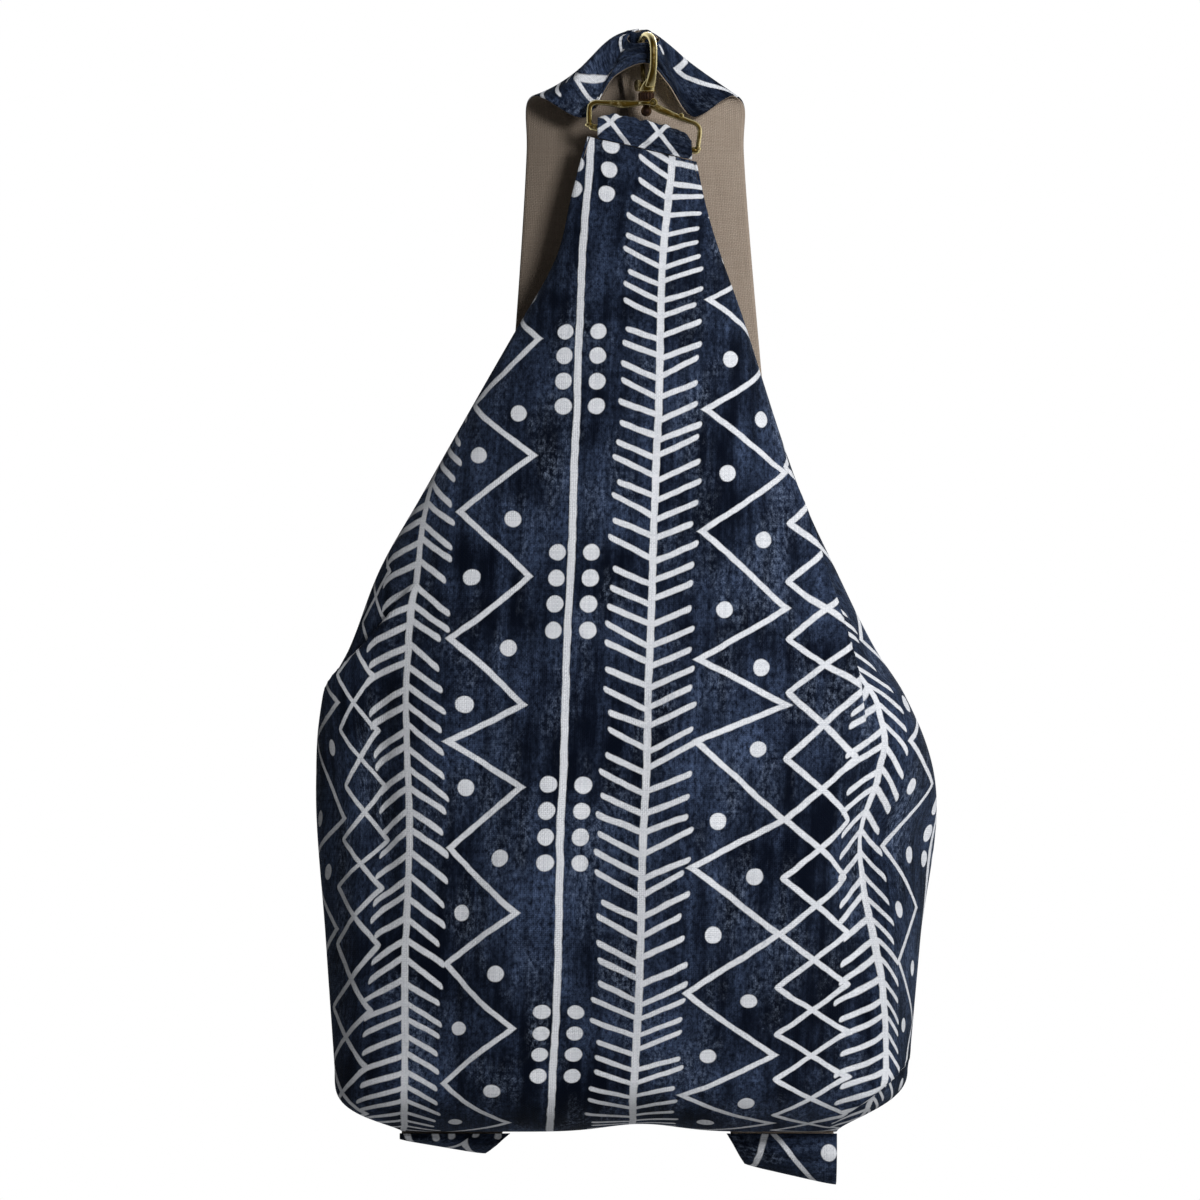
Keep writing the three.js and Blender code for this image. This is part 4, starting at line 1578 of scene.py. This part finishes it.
    def middle(self) -> Array:
        """Return the strap's middle surface, from the left seam through the hook to the right."""
        x, y = self.bundle_at
        low, high = (np.array([x, y, -drop]) for drop in (self.bundle_bottom, self.bundle_top))
        bundle = (low, high, 1.0, 0.0)
        stations = [*self.stations(self.left), bundle, *self.stations(self.right)[::-1]]
        spans = len(stations) - 1
        shares = np.linspace(0, 1, spans * self.rows_per_span + 1)
        places = shares * spans
        edges, measures = zip(*((station[:2], station[2:]) for station in stations))
        outer, inner = (Route([pair[k] for pair in edges]).at(shares) for k in (0, 1))
        pleat, wave = (
            np.interp(places, np.arange(spans + 1), [pair[k] for pair in measures]) for k in (0, 1)
        )
        over = np.linspace(0, 1, self.columns + 1)
        grid = outer[:, None] + (inner - outer)[:, None] * over[None, :, None]
        turn = over * 2 * math.pi
        grid[:, :, 1] -= self.pleat * pleat[:, None] * np.cos(turn * self.pleats)[None]
        grid[:, :, 2] -= wave[:, None] * np.sin(turn)[None]
        for first, at in zip(self.crest_stations, (self.left, self.right)):
            near = (first, first + 1, first + 2)
            crest = np.interp(places, near, (0.4, 1.0, 0.4), left=0, right=0)
            grid[:, :, 2] += at.crest_lift * crest[:, None] * smoothstep(over, 0.55, 0.8)[None]
        return grid

    def printed(self, grid: Array) -> Array:
        """Return the strap's places on the print, which is cut across the strap, from each seam."""
        half = len(grid) // 2
        over = np.linspace(-0.5, 0.5, self.columns + 1) * self.width
        steps = np.linalg.norm(np.diff(grid, axis=0), axis=2)
        length = np.concatenate([np.zeros((1, self.columns + 1)), np.cumsum(steps, axis=0)])
        halves = ((length[:half], self.left), (length[-1] - length[half:], self.right))
        places = []
        for from_seam, at in halves:
            start, middle = at.print_at
            slant, turned_at = at.print_turn
            turned = slant * (np.maximum(from_seam, turned_at - self.turned_length) - turned_at)
            places.append(np.stack([start + from_seam, middle + over + turned], axis=2))
        return np.concatenate(places)

    def lap(self, shade: Array) -> Array:
        """Return lap numbers that only hold a third number for each row, or for each place: a
        painted shadow on the linen, or print left off on the face.
        """
        made = np.zeros((len(shade), self.columns + 1, 3))
        made[:, :, 2] = shade
        return made.reshape(-1, 3)

    def gather(self) -> None:
        """Make the small ruffle of strap that bunches up behind the bow, left without print so that
        its plain dark ground stands for painted shade.
        """
        shares = [np.linspace(0, 1, cells + 1) for cells in self.ruffle_cells]
        down, over = np.meshgrid(*shares, indexing="ij")
        aside = 2 * over - 1
        x = mix(*self.ruffle_ends, over) * (1 - 0.25 * down)
        ruffle = np.sin(over * 9.5 + 2.2 * np.sin(down * 2.5)) + 0.5 * np.sin(over * 23 + 1.1)
        belly = self.ruffle_belly * np.sin(down * math.pi) * (1 - aside**2)
        y = self.ruffle_back - self.ruffle_depth * ruffle - belly
        top = self.ruffle_top + 0.7 * np.sin(over * 11.0) - 3.0 * aside**4
        points = np.stack([x, y, top - self.ruffle_fall * down], axis=2)
        wide, tall = self.ruffle_flat
        flat = np.stack([wide * over, tall * down], axis=2)
        # No print on the ruffle: its plain dark ground stands for painted shade.
        lap = np.tile((0.0, 0.0, 1.0), (over.size, 1))
        piece = cloth_piece("strap_gather", points, flat, [self.finishes.print], lap)
        thicken(piece, self.layer)
        settle(piece, Body.BAG, Slot.PRINT)

    def build(self) -> None:
        """Make the printed face and the linen lining."""
        grid = self.middle()
        normals = grid_normals(grid)
        over = np.linspace(-1, 1, self.columns + 1)
        pillow = (self.gap / 2 + self.layer * (1 - 0.6 * np.abs(over) ** 6))[None, :, None]
        along = run_length(grid.mean(axis=1))
        across = np.repeat((over * self.width / 2)[None], len(grid), axis=0)
        flat = np.stack([across, np.repeat(along[:, None], self.columns + 1, axis=1)], axis=2)
        place = np.arange(len(grid)) - len(grid) // 2
        # The gathers and a small patch of the right fold are left without print; in the gathers the
        # plain dark ground stands for painted shade.
        first, last, reach = self.bare_patch
        inside = ((place >= first) & (place <= last))[:, None]
        patch = inside & (np.arange(self.columns + 1) <= reach)
        bare = self.lap((np.abs(place) <= self.bare_rows)[:, None] | patch)
        # The left half's linen gets a painted shadow.
        painted_shadow = self.lap(np.where(place < 0, self.left.shade, self.right.shade)[:, None])
        outside = grid + normals * pillow
        inner = (grid - normals * pillow)[:, ::-1]
        cloth = [self.finishes.print]
        face = cloth_piece("strap_outside", outside, self.printed(grid), cloth, bare)
        linen = [self.finishes.linen]
        lining = cloth_piece("strap_inside", inner, flat[:, ::-1], linen, painted_shadow)
        made = ((face, Slot.PRINT, "strap_face"), (lining, Slot.LINEN, "strap_lining"))
        for piece, slot, node in made:
            thicken(piece, self.layer)
            settle(piece, Body.BAG, slot, node)
        self.gather()


class Casting:
    """Closed forms that are put together into one metal piece."""

    EASE = 0.14
    FLUTE = 0.09

    def __init__(self, turn: float = 0.0, across: float = 0.0) -> None:
        """Start empty; what is added is turned about Z by degrees and then moved across."""
        angle = math.radians(turn)
        along, aside = math.cos(angle), math.sin(angle)
        self.frame = np.array([[along, -aside, 0], [aside, along, 0], [0, 0, 1]])
        self.across = across
        self.points: list[Array] = []
        self.faces: list[tuple[int, ...]] = []
        self.count = 0

    def loft(self, rings: Array) -> None:
        """Add a closed form through rings of points, with its ends closed at their middles."""
        rows, around = rings.shape[:2]
        points = np.vstack([rings.reshape(-1, 3), rings[0].mean(axis=0), rings[-1].mean(axis=0)])
        first, last, end = rows * around, rows * around + 1, (rows - 1) * around
        faces = list(grid_faces(rows, around, loop=True))
        for k in range(around):
            after = (k + 1) % around
            faces += [(first, k, after), (last, end + after, end + k)]
        corners = points[np.array([face[:3] for face in faces])]
        volume = np.einsum("ij,ij->", corners[:, 0], np.cross(corners[:, 1], corners[:, 2]))
        step = -1 if volume < 0 else 1
        self.faces += [tuple(self.count + i for i in face[::step]) for face in faces]
        self.points.append(points)
        self.count += len(points)

    def sweep(
        self,
        line: Array,
        wide: Array,
        thick: Array | float,
        chamfer: float,
        round_ends: float = 0.0,
    ) -> None:
        """Add a chamfered bar along a line that lies in a plane across Y.

        Args:
            line: The points of its middle, evenly spaced.
            wide: Its width in the plane at each point.
            thick: Its thickness across the plane, at each point or all along.
            chamfer: How much is cut off its edges.
            round_ends: How long its rounded ends are.
        """
        normal = np.array((0.0, 1.0, 0.0))
        sizes = np.stack([wide, wide * 0 + thick], axis=1)
        sides = unit(np.cross(normal, unit(np.gradient(line, axis=0))))
        length = run_length(line)
        near_end = np.minimum(length, length[-1] - length)
        swell = np.ones(len(line))
        if round_ends:
            swell = np.sqrt(1 - np.clip(1 - near_end / round_ends, 0, 0.999) ** 2)
        rings = []
        for middle, side, size, scale in zip(line, sides, sizes, swell):
            outline = self.chamfered(*size, chamfer) * scale
            rings.append(middle + outline[:, :1] * side + outline[:, 1:] * normal)
        self.loft(np.array(rings))

    @classmethod
    def chamfered(cls, wide: float, thick: float, cut: float) -> Array:
        """Return a rectangle's outline with its corners cut off and their edges eased."""
        x, y = wide / 2, thick / 2
        corner = [(x, y - cut), (x - cut, y), (cut - x, y), (-x, y - cut)]
        corners = np.array(corner + [(-a, -b) for a, b in corner])
        after = np.roll(corners, -1, axis=0)
        eased = [mix(corners, after, share) for share in (cls.EASE, 1 - cls.EASE)]
        return np.stack(eased, axis=1).reshape(-1, 2)

    def turned(
        self, at: Sequence[float], axis: Sequence[float], profile: Table, flutes: int = 0
    ) -> None:
        """Add a turned form.

        Args:
            at: A point on its axis.
            axis: The direction of its axis.
            profile: Its radius at each height along the axis.
            flutes: How many grooves are cut along it.
        """
        axis = unit(np.array(axis, float))
        side = unit(np.cross(axis, (0.3, 0.5, 0.8)))
        turn = np.linspace(0, 2 * math.pi, 12 * flutes if flutes else 40, endpoint=False)
        cut = np.ones(len(turn))
        if flutes:
            cut -= self.FLUTE * np.abs(np.cos(turn * flutes / 2)) ** 6
        circle = np.cos(turn)[:, None] * side + np.sin(turn)[:, None] * np.cross(axis, side)
        sizes = [(np.array(at) + axis * height, radius * cut) for radius, height in profile]
        self.loft(np.array([middle + circle * radii[:, None] for middle, radii in sizes]))

    def piece(self, name: str, material: Material) -> Piece:
        """Return the object that holds everything added."""
        points = np.vstack(self.points) @ self.frame.T + (self.across, 0, 0)
        return mesh_object(name, points, self.faces, points[:, :2], [material])


def eased(radius: float, height: float, ease: float) -> list[Pair]:
    """Return the profile of a disc with rounded edges, its height counted from its middle."""
    turns = np.linspace(0, math.pi / 2, 5)
    flat, half = radius - ease, height / 2
    top = [(flat + ease * math.cos(t), half - ease + ease * math.sin(t)) for t in turns]
    return [(0.05, -half), *[(r, -h) for r, h in top[::-1]], *top, (0.05, half)]


def mirrored(top: Table) -> list[Pair]:
    """Return the closed profile of a ring from its upper half."""
    return [*top, *[(radius, -height) for radius, height in top[::-1]], top[0]]


def washer(hole: float, radius: float, height: float, ease: float) -> list[Pair]:
    """Return the profile of a ring with chamfered edges, its height counted from its middle."""
    half = height / 2
    return mirrored(((hole, half), (radius - ease, half), (radius, half - ease)))


def ball(radius: float) -> list[Pair]:
    """Return the profile of a ball round its middle."""
    turns = np.linspace(-math.pi / 2 + 0.05, math.pi / 2 - 0.05, 15)
    return [(radius * math.cos(t), radius * math.sin(t)) for t in turns]


@dataclass
class Clasp:
    """The swivel clasp: the eye sewn into the tab, and the hook that turns in it.

    Paths are given as (across, height), profiles as (radius, height), and the rings of the hook's
    base as (height, middle, depth, breadth).
    """

    finishes: Finishes
    across: float = 4.4
    turn: float = -62.0
    eye_tilt: float = 13.0
    bar_drop: float = 50.9
    bar_ends: Pair = (-23.6, 30.2)
    bar_size: float = 3.2
    bar_points: int = 40
    arm_points: int = 72
    arm_thick: float = 2.8
    left_arm: Table = (
        (1.6, -34.4), (-2.5, -34.9), (-6, -35.0), (-11, -34.7), (-16.5, -34.3), (-20.4, -34.3),
        (-22.4, -35.6), (-22.9, -38.5), (-22.9, -42), (-22.8, -46),
    )
    left_wide: tuple[float, ...] = (2.4, 3.2, 3.8, 3.3, 2.7, 2.4, 2.5, 2.6, 2.6, 2.6)
    right_arm: Table = (
        (6.6, -35.2), (10.6, -37.3), (15, -39.3), (20, -41.3), (24.8, -43.1), (28.2, -44.5),
        (29.8, -46.4), (30.0, -49), (29.5, -53), (28.9, -57.6),
    )
    right_wide: tuple[float, ...] = (3.4, 3.7, 3.3, 2.8, 2.4, 2.2, 2.2, 2.2, 2.2, 2.2)
    boss_height: float = -34.7
    lug_at: Triple = (7.9, -3.4, -34.4)
    bead_at: Triple = (21.3, -0.6, -40.4)
    feet: tuple[Triple, ...] = ((-22.85, -44.9, 2.2), (28.95, -56.4, 1.75))
    bow_radius: float = 6.6
    bow_middle: Pair = (0.4, -8.6)
    bow_points: int = 96
    shank: Table = ((2.6, -26.6), (4.6, -23.6), (6.6, -18.5), (7.3, -13))
    nose: Table = ((-6.3, -10), (-6.4, -12.9))
    base: tuple[tuple[float, float, float, float], ...] = (
        (-22.6, 4.9, 1.2, 1.5), (-23.4, 4.4, 2.2, 2.4), (-25, 3.0, 2.6, 3.2),
        (-27, 1.6, 2.9, 3.9), (-28.2, 0.8, 3.4, 4.2), (-28.8, 0.5, 3.5, 4.2),
        (-29.1, 0.4, 3.2, 3.9),
    )
    base_cut: float = -0.65
    base_points: int = 48
    cheek_out: float = 3.65
    pivot: Pair = (-3.1, -25.6)
    gate_path: Table = ((0, 0), (-1.5, 1.9), (-2.7, 4.6), (-3.2, 8), (-3.3, 11.7))
    gate_shift: float = 1.5
    gate_points: int = 48
    pin: Table = ((0.05, -4.0), (0.6, -3.95), (0.75, -3.7), (0.75, 3.7), (0.6, 3.95), (0.05, 4.0))
    coil_radius: float = 1.35
    coil_pitch: float = 0.7
    coil_start: float = -2.2
    coil_turns: int = 3
    wire: float = 0.28
    barrel_height: float = -31.4
    knurl: Table = ((1.8, 2.1), (3.3, 2.1), (3.7, 1.8), (3.85, 1.4))
    flutes: int = 14
    stem_height: float = -32.0
    stem: Table = ((0.05, 4), (1.5, 4), (1.5, -5), (0.05, -5))
    head_height: float = -38.4
    head_radius: float = 2.6

    def casting(self) -> Casting:
        """Return an empty casting that stands as the hook does."""
        return Casting(self.turn, self.across)

    def finish(self, made: Casting, name: str, body: Body, slot: Slot, node: str) -> None:
        """Dress a casting and tie it to its body.

        Args:
            made: What was cast.
            name: The piece's name.
            body: What it moves with.
            slot: The record's finish that it takes.
            node: The solid that it replaces.
        """
        metal = self.finishes.dark if slot is Slot.DARK else self.finishes.brass
        settle(made.piece(name, metal), body, slot, node)

    def bar_end(self, x: float) -> Array:
        """Return a point of the bar in the tab, which hangs tilted."""
        return np.array((x, 0.0, -self.bar_drop - math.tan(math.radians(self.eye_tilt)) * x))

    def eye(self) -> None:
        """Make the eye: arms, bar, boss, lug, bead and feet."""
        made = Casting()
        shares = np.linspace(0, 1, self.arm_points)
        for path, wide in ((self.left_arm, self.left_wide), (self.right_arm, self.right_wide)):
            line = Route([(x, 0, z) for x, z in path]).even(self.arm_points)
            sizes = np.interp(shares, np.linspace(0, 1, len(wide)), wide)
            made.sweep(line, sizes, self.arm_thick, 0.75)
        first, last = (self.bar_end(x) for x in self.bar_ends)
        bar = mix(first, last, np.linspace(0, 1, self.bar_points)[:, None])
        made.sweep(bar, np.full(self.bar_points, self.bar_size), self.bar_size, 0.9, 1.0)
        made.turned((self.across, 0, self.boss_height), (0, 0, 1), washer(1.9, 4.4, 1.8, 0.4))
        made.turned(self.lug_at, (0.15, 1, 0.1), washer(0.75, 1.9, 2.2, 0.4))
        made.turned(self.bead_at, (0.35, 0, 1), ball(1.25))
        for x, height, radius in self.feet:
            made.turned((x, 0, height), (0, 0, 1), eased(radius, 1.7, 0.5))
        self.finish(made, "eye", Body.BAG, Slot.BRASS, "eye_frame")

    def hook(self) -> None:
        """Make the hook: the bow with its nose, and the forked base."""
        made = self.casting()
        x, z = self.bow_middle
        bend = [
            (self.bow_radius * math.cos(t) + x, self.bow_radius * math.sin(t) + z)
            for t in np.linspace(0.25, math.pi - 0.1, 7)
        ]
        path = [*self.shank, *bend, *self.nose]
        line = Route([(x, 0, z) for x, z in path]).even(self.bow_points)
        share = np.linspace(0, 1, self.bow_points)
        wide = np.interp(share, (0, 0.12, 0.3, 0.75, 1), (4.6, 4.2, 3.4, 3.2, 3.4))
        made.sweep(line, wide, np.interp(share, (0, 0.2, 1), (5.6, 3.5, 3.3)), 0.9, 0.9)
        turn = np.linspace(0, 2 * math.pi, self.base_points, endpoint=False)
        rings = []
        for height, middle, deep, broad in self.base:
            x = np.maximum(middle + deep * np.cos(turn), self.base_cut)
            rings.append(np.stack([x, broad * np.sin(turn), turn * 0 + height], axis=1))
        made.loft(np.array(rings))
        for side in (-self.cheek_out, self.cheek_out):
            at = (self.pivot[0] * 0.62, side, self.pivot[1] - 0.4)
            made.turned(at, (0, 1, 0), eased(2.9, 1.1, 0.3))
        self.finish(made, "hook", Body.HOOK, Slot.BRASS, "hook_body")

    def gate(self) -> None:
        """Make the gate, a sprung bar from the pin up to the nose."""
        made = self.casting()
        x, z = self.pivot
        path = [(x + over, self.gate_shift, z + up) for over, up in self.gate_path]
        shares = np.linspace(0, 1, self.gate_points)
        wide = np.interp(shares, (0, 0.3, 1), (3.0, 2.7, 2.3))
        made.sweep(Route(path).even(self.gate_points), wide, 2.1, 0.6, 0.8)
        made.turned((x, self.gate_shift, z), (0, 1, 0), washer(1.1, 2.0, 2.1, 0.3))
        self.finish(made, "gate_lever", Body.GATE, Slot.BRASS, "gate")

    def coil(self, at: Sequence[float]) -> Casting:
        """Return the spring, wound about the pin at a place."""
        made = self.casting()
        turn = np.linspace(0, 2 * math.pi * self.coil_turns, 90)
        along = turn / (2 * math.pi) * self.coil_pitch + self.coil_start
        line = np.stack(
            [self.coil_radius * np.cos(turn), along, self.coil_radius * np.sin(turn)], axis=1
        )
        tangents, out = unit(np.gradient(line, axis=0)), unit(line * (1, 0, 1))
        around = np.linspace(0, 2 * math.pi, 10, endpoint=False)[None, :, None]
        rim = np.cos(around) * out[:, None] + np.sin(around) * np.cross(tangents, out)[:, None]
        made.loft(np.array(at) + line[:, None] + rim * self.wire)
        return made

    def fittings(self) -> None:
        """Make the pin, the spring, the fluted barrel and the rivet that holds the hook."""
        at = (self.pivot[0], 0.0, self.pivot[1])
        up = (0, 0, 1)
        pin, barrel, rivet = (self.casting() for _ in range(3))
        pin.turned(at, (0, 1, 0), self.pin)
        barrel.turned((0, 0, self.barrel_height), up, mirrored(self.knurl), self.flutes)
        rivet.turned((0, 0, self.stem_height), up, self.stem)
        rivet.turned((0, 0, self.head_height), up, ball(self.head_radius))
        for made, name, node in (
            (pin, "pin", "gate_pin"),
            (self.coil(at), "spring", "gate_spring"),
            (barrel, "barrel", "swivel_barrel"),
            (rivet, "rivet", "swivel_rivet"),
        ):
            self.finish(made, name, Body.HOOK, Slot.DARK, node)

    def build(self) -> None:
        """Make the eye, the hook, the gate and the small fittings."""
        self.eye()
        self.hook()
        self.gate()
        self.fittings()


# Studio


@dataclass(frozen=True)
class Lamp:
    """A square lamp: where it hangs and the length of its side in metres, and its watts."""

    name: str
    place: Triple
    size: float
    power: float


@dataclass(frozen=True)
class Studio:
    """The camera at the photograph's angle, soft lamps and a pale floor, in metres."""

    eye: Triple = (-0.0178, -3.0, -0.273)
    lens: float = 187.5
    sensor: float = 36.0
    aim: Triple = (0, 0, -0.28)
    lamps: tuple[Lamp, ...] = (
        Lamp("key_lamp", (0.88, -1.6, 0.45), 0.5, 37.5),
        Lamp("side_lamp", (1.7, -0.25, 0.0), 0.8, 6.5),
        Lamp("back_lamp", (0.5, 1.9, 0.3), 1.0, 24),
    )
    floor_drop: float = 0.75
    floor_size: float = 12.0
    floor_grey: float = 0.35
    floor_rough: float = 0.9
    ambient: float = 0.08

    def camera(self) -> None:
        """Place the camera, which looks level along +Y."""
        data = bpy.data.cameras.new("camera")
        data.lens = self.lens
        data.sensor_width = self.sensor
        made = bpy.data.objects.new("camera", data)
        made.location = self.eye
        made.rotation_euler = (math.pi / 2, 0, 0)
        bpy.context.scene.collection.objects.link(made)
        bpy.context.scene.camera = made

    def hang(self, lamp: Lamp) -> None:
        """Hang a lamp so that it faces the middle of the bag."""
        data = bpy.data.lights.new(lamp.name, "AREA")
        data.size = lamp.size
        data.energy = lamp.power
        made = bpy.data.objects.new(lamp.name, data)
        made.location = lamp.place
        aim = Vector(self.aim) - made.location
        made.rotation_euler = aim.to_track_quat("-Z", "Y").to_euler()
        bpy.context.scene.collection.objects.link(made)

    @staticmethod
    def seen(tree: Tree) -> Field:
        """Return 1 for rays that show the surroundings: direct, off gloss and through glass."""
        path = tree.nodes.new("ShaderNodeLightPath")
        rays = ("Is Camera Ray", "Is Glossy Ray", "Is Transmission Ray")
        camera, glossy, through = (Field(tree, path.outputs[ray]) for ray in rays)
        return camera.most(glossy).most(through)

    def world(self) -> None:
        """Light the scene from all round, and show white behind the object."""
        world = bpy.data.worlds.new("studio")
        world.use_nodes = True
        bpy.context.scene.world = world
        tree = world.node_tree
        shade = tree.nodes["Background"]
        plug(tree, self.seen(tree) * (1 - self.ambient) + self.ambient, shade.inputs["Strength"])
        shade.inputs["Color"].default_value = (1, 1, 1, 1)

    def floor(self) -> None:
        """Lay the pale floor, which shows white and keeps the object's shadow."""
        half = self.floor_size / 2
        corners = np.array([[-half, -half], [half, -half], [half, half], [-half, half]]) / MM
        points = np.column_stack([corners, np.full(4, -self.floor_drop / MM)])
        material, tree, shader = blank_material("pale_floor")
        shader.inputs["Base Color"].default_value = (*[self.floor_grey] * 3, 1)
        shader.inputs["Roughness"].default_value = self.floor_rough
        glow = tree.nodes.new("ShaderNodeEmission")
        blend = tree.nodes.new("ShaderNodeMixShader")
        plug(tree, self.seen(tree), blend.inputs[0])
        tree.links.new(shader.outputs[0], blend.inputs[1])
        tree.links.new(glow.outputs[0], blend.inputs[2])
        tree.links.new(blend.outputs[0], tree.nodes["Material Output"].inputs["Surface"])
        mesh_object("floor", points, [(0, 1, 2, 3)], corners, [material])

    def build(self) -> None:
        """Set up the camera, the light and the floor."""
        bpy.context.scene.view_settings.view_transform = "Standard"
        self.camera()
        self.world()
        for lamp in self.lamps:
            self.hang(lamp)
        self.floor()


def main() -> None:
    """Build the studio and then each part of the backpack."""
    logging.basicConfig(level=logging.INFO, format="%(message)s")
    Studio().build()
    finishes = Finishes()
    Bag(finishes).build()
    NeckTab(finishes).build()
    Strap(finishes).build()
    Clasp(finishes).build()


if __name__ == "__main__":
    main()
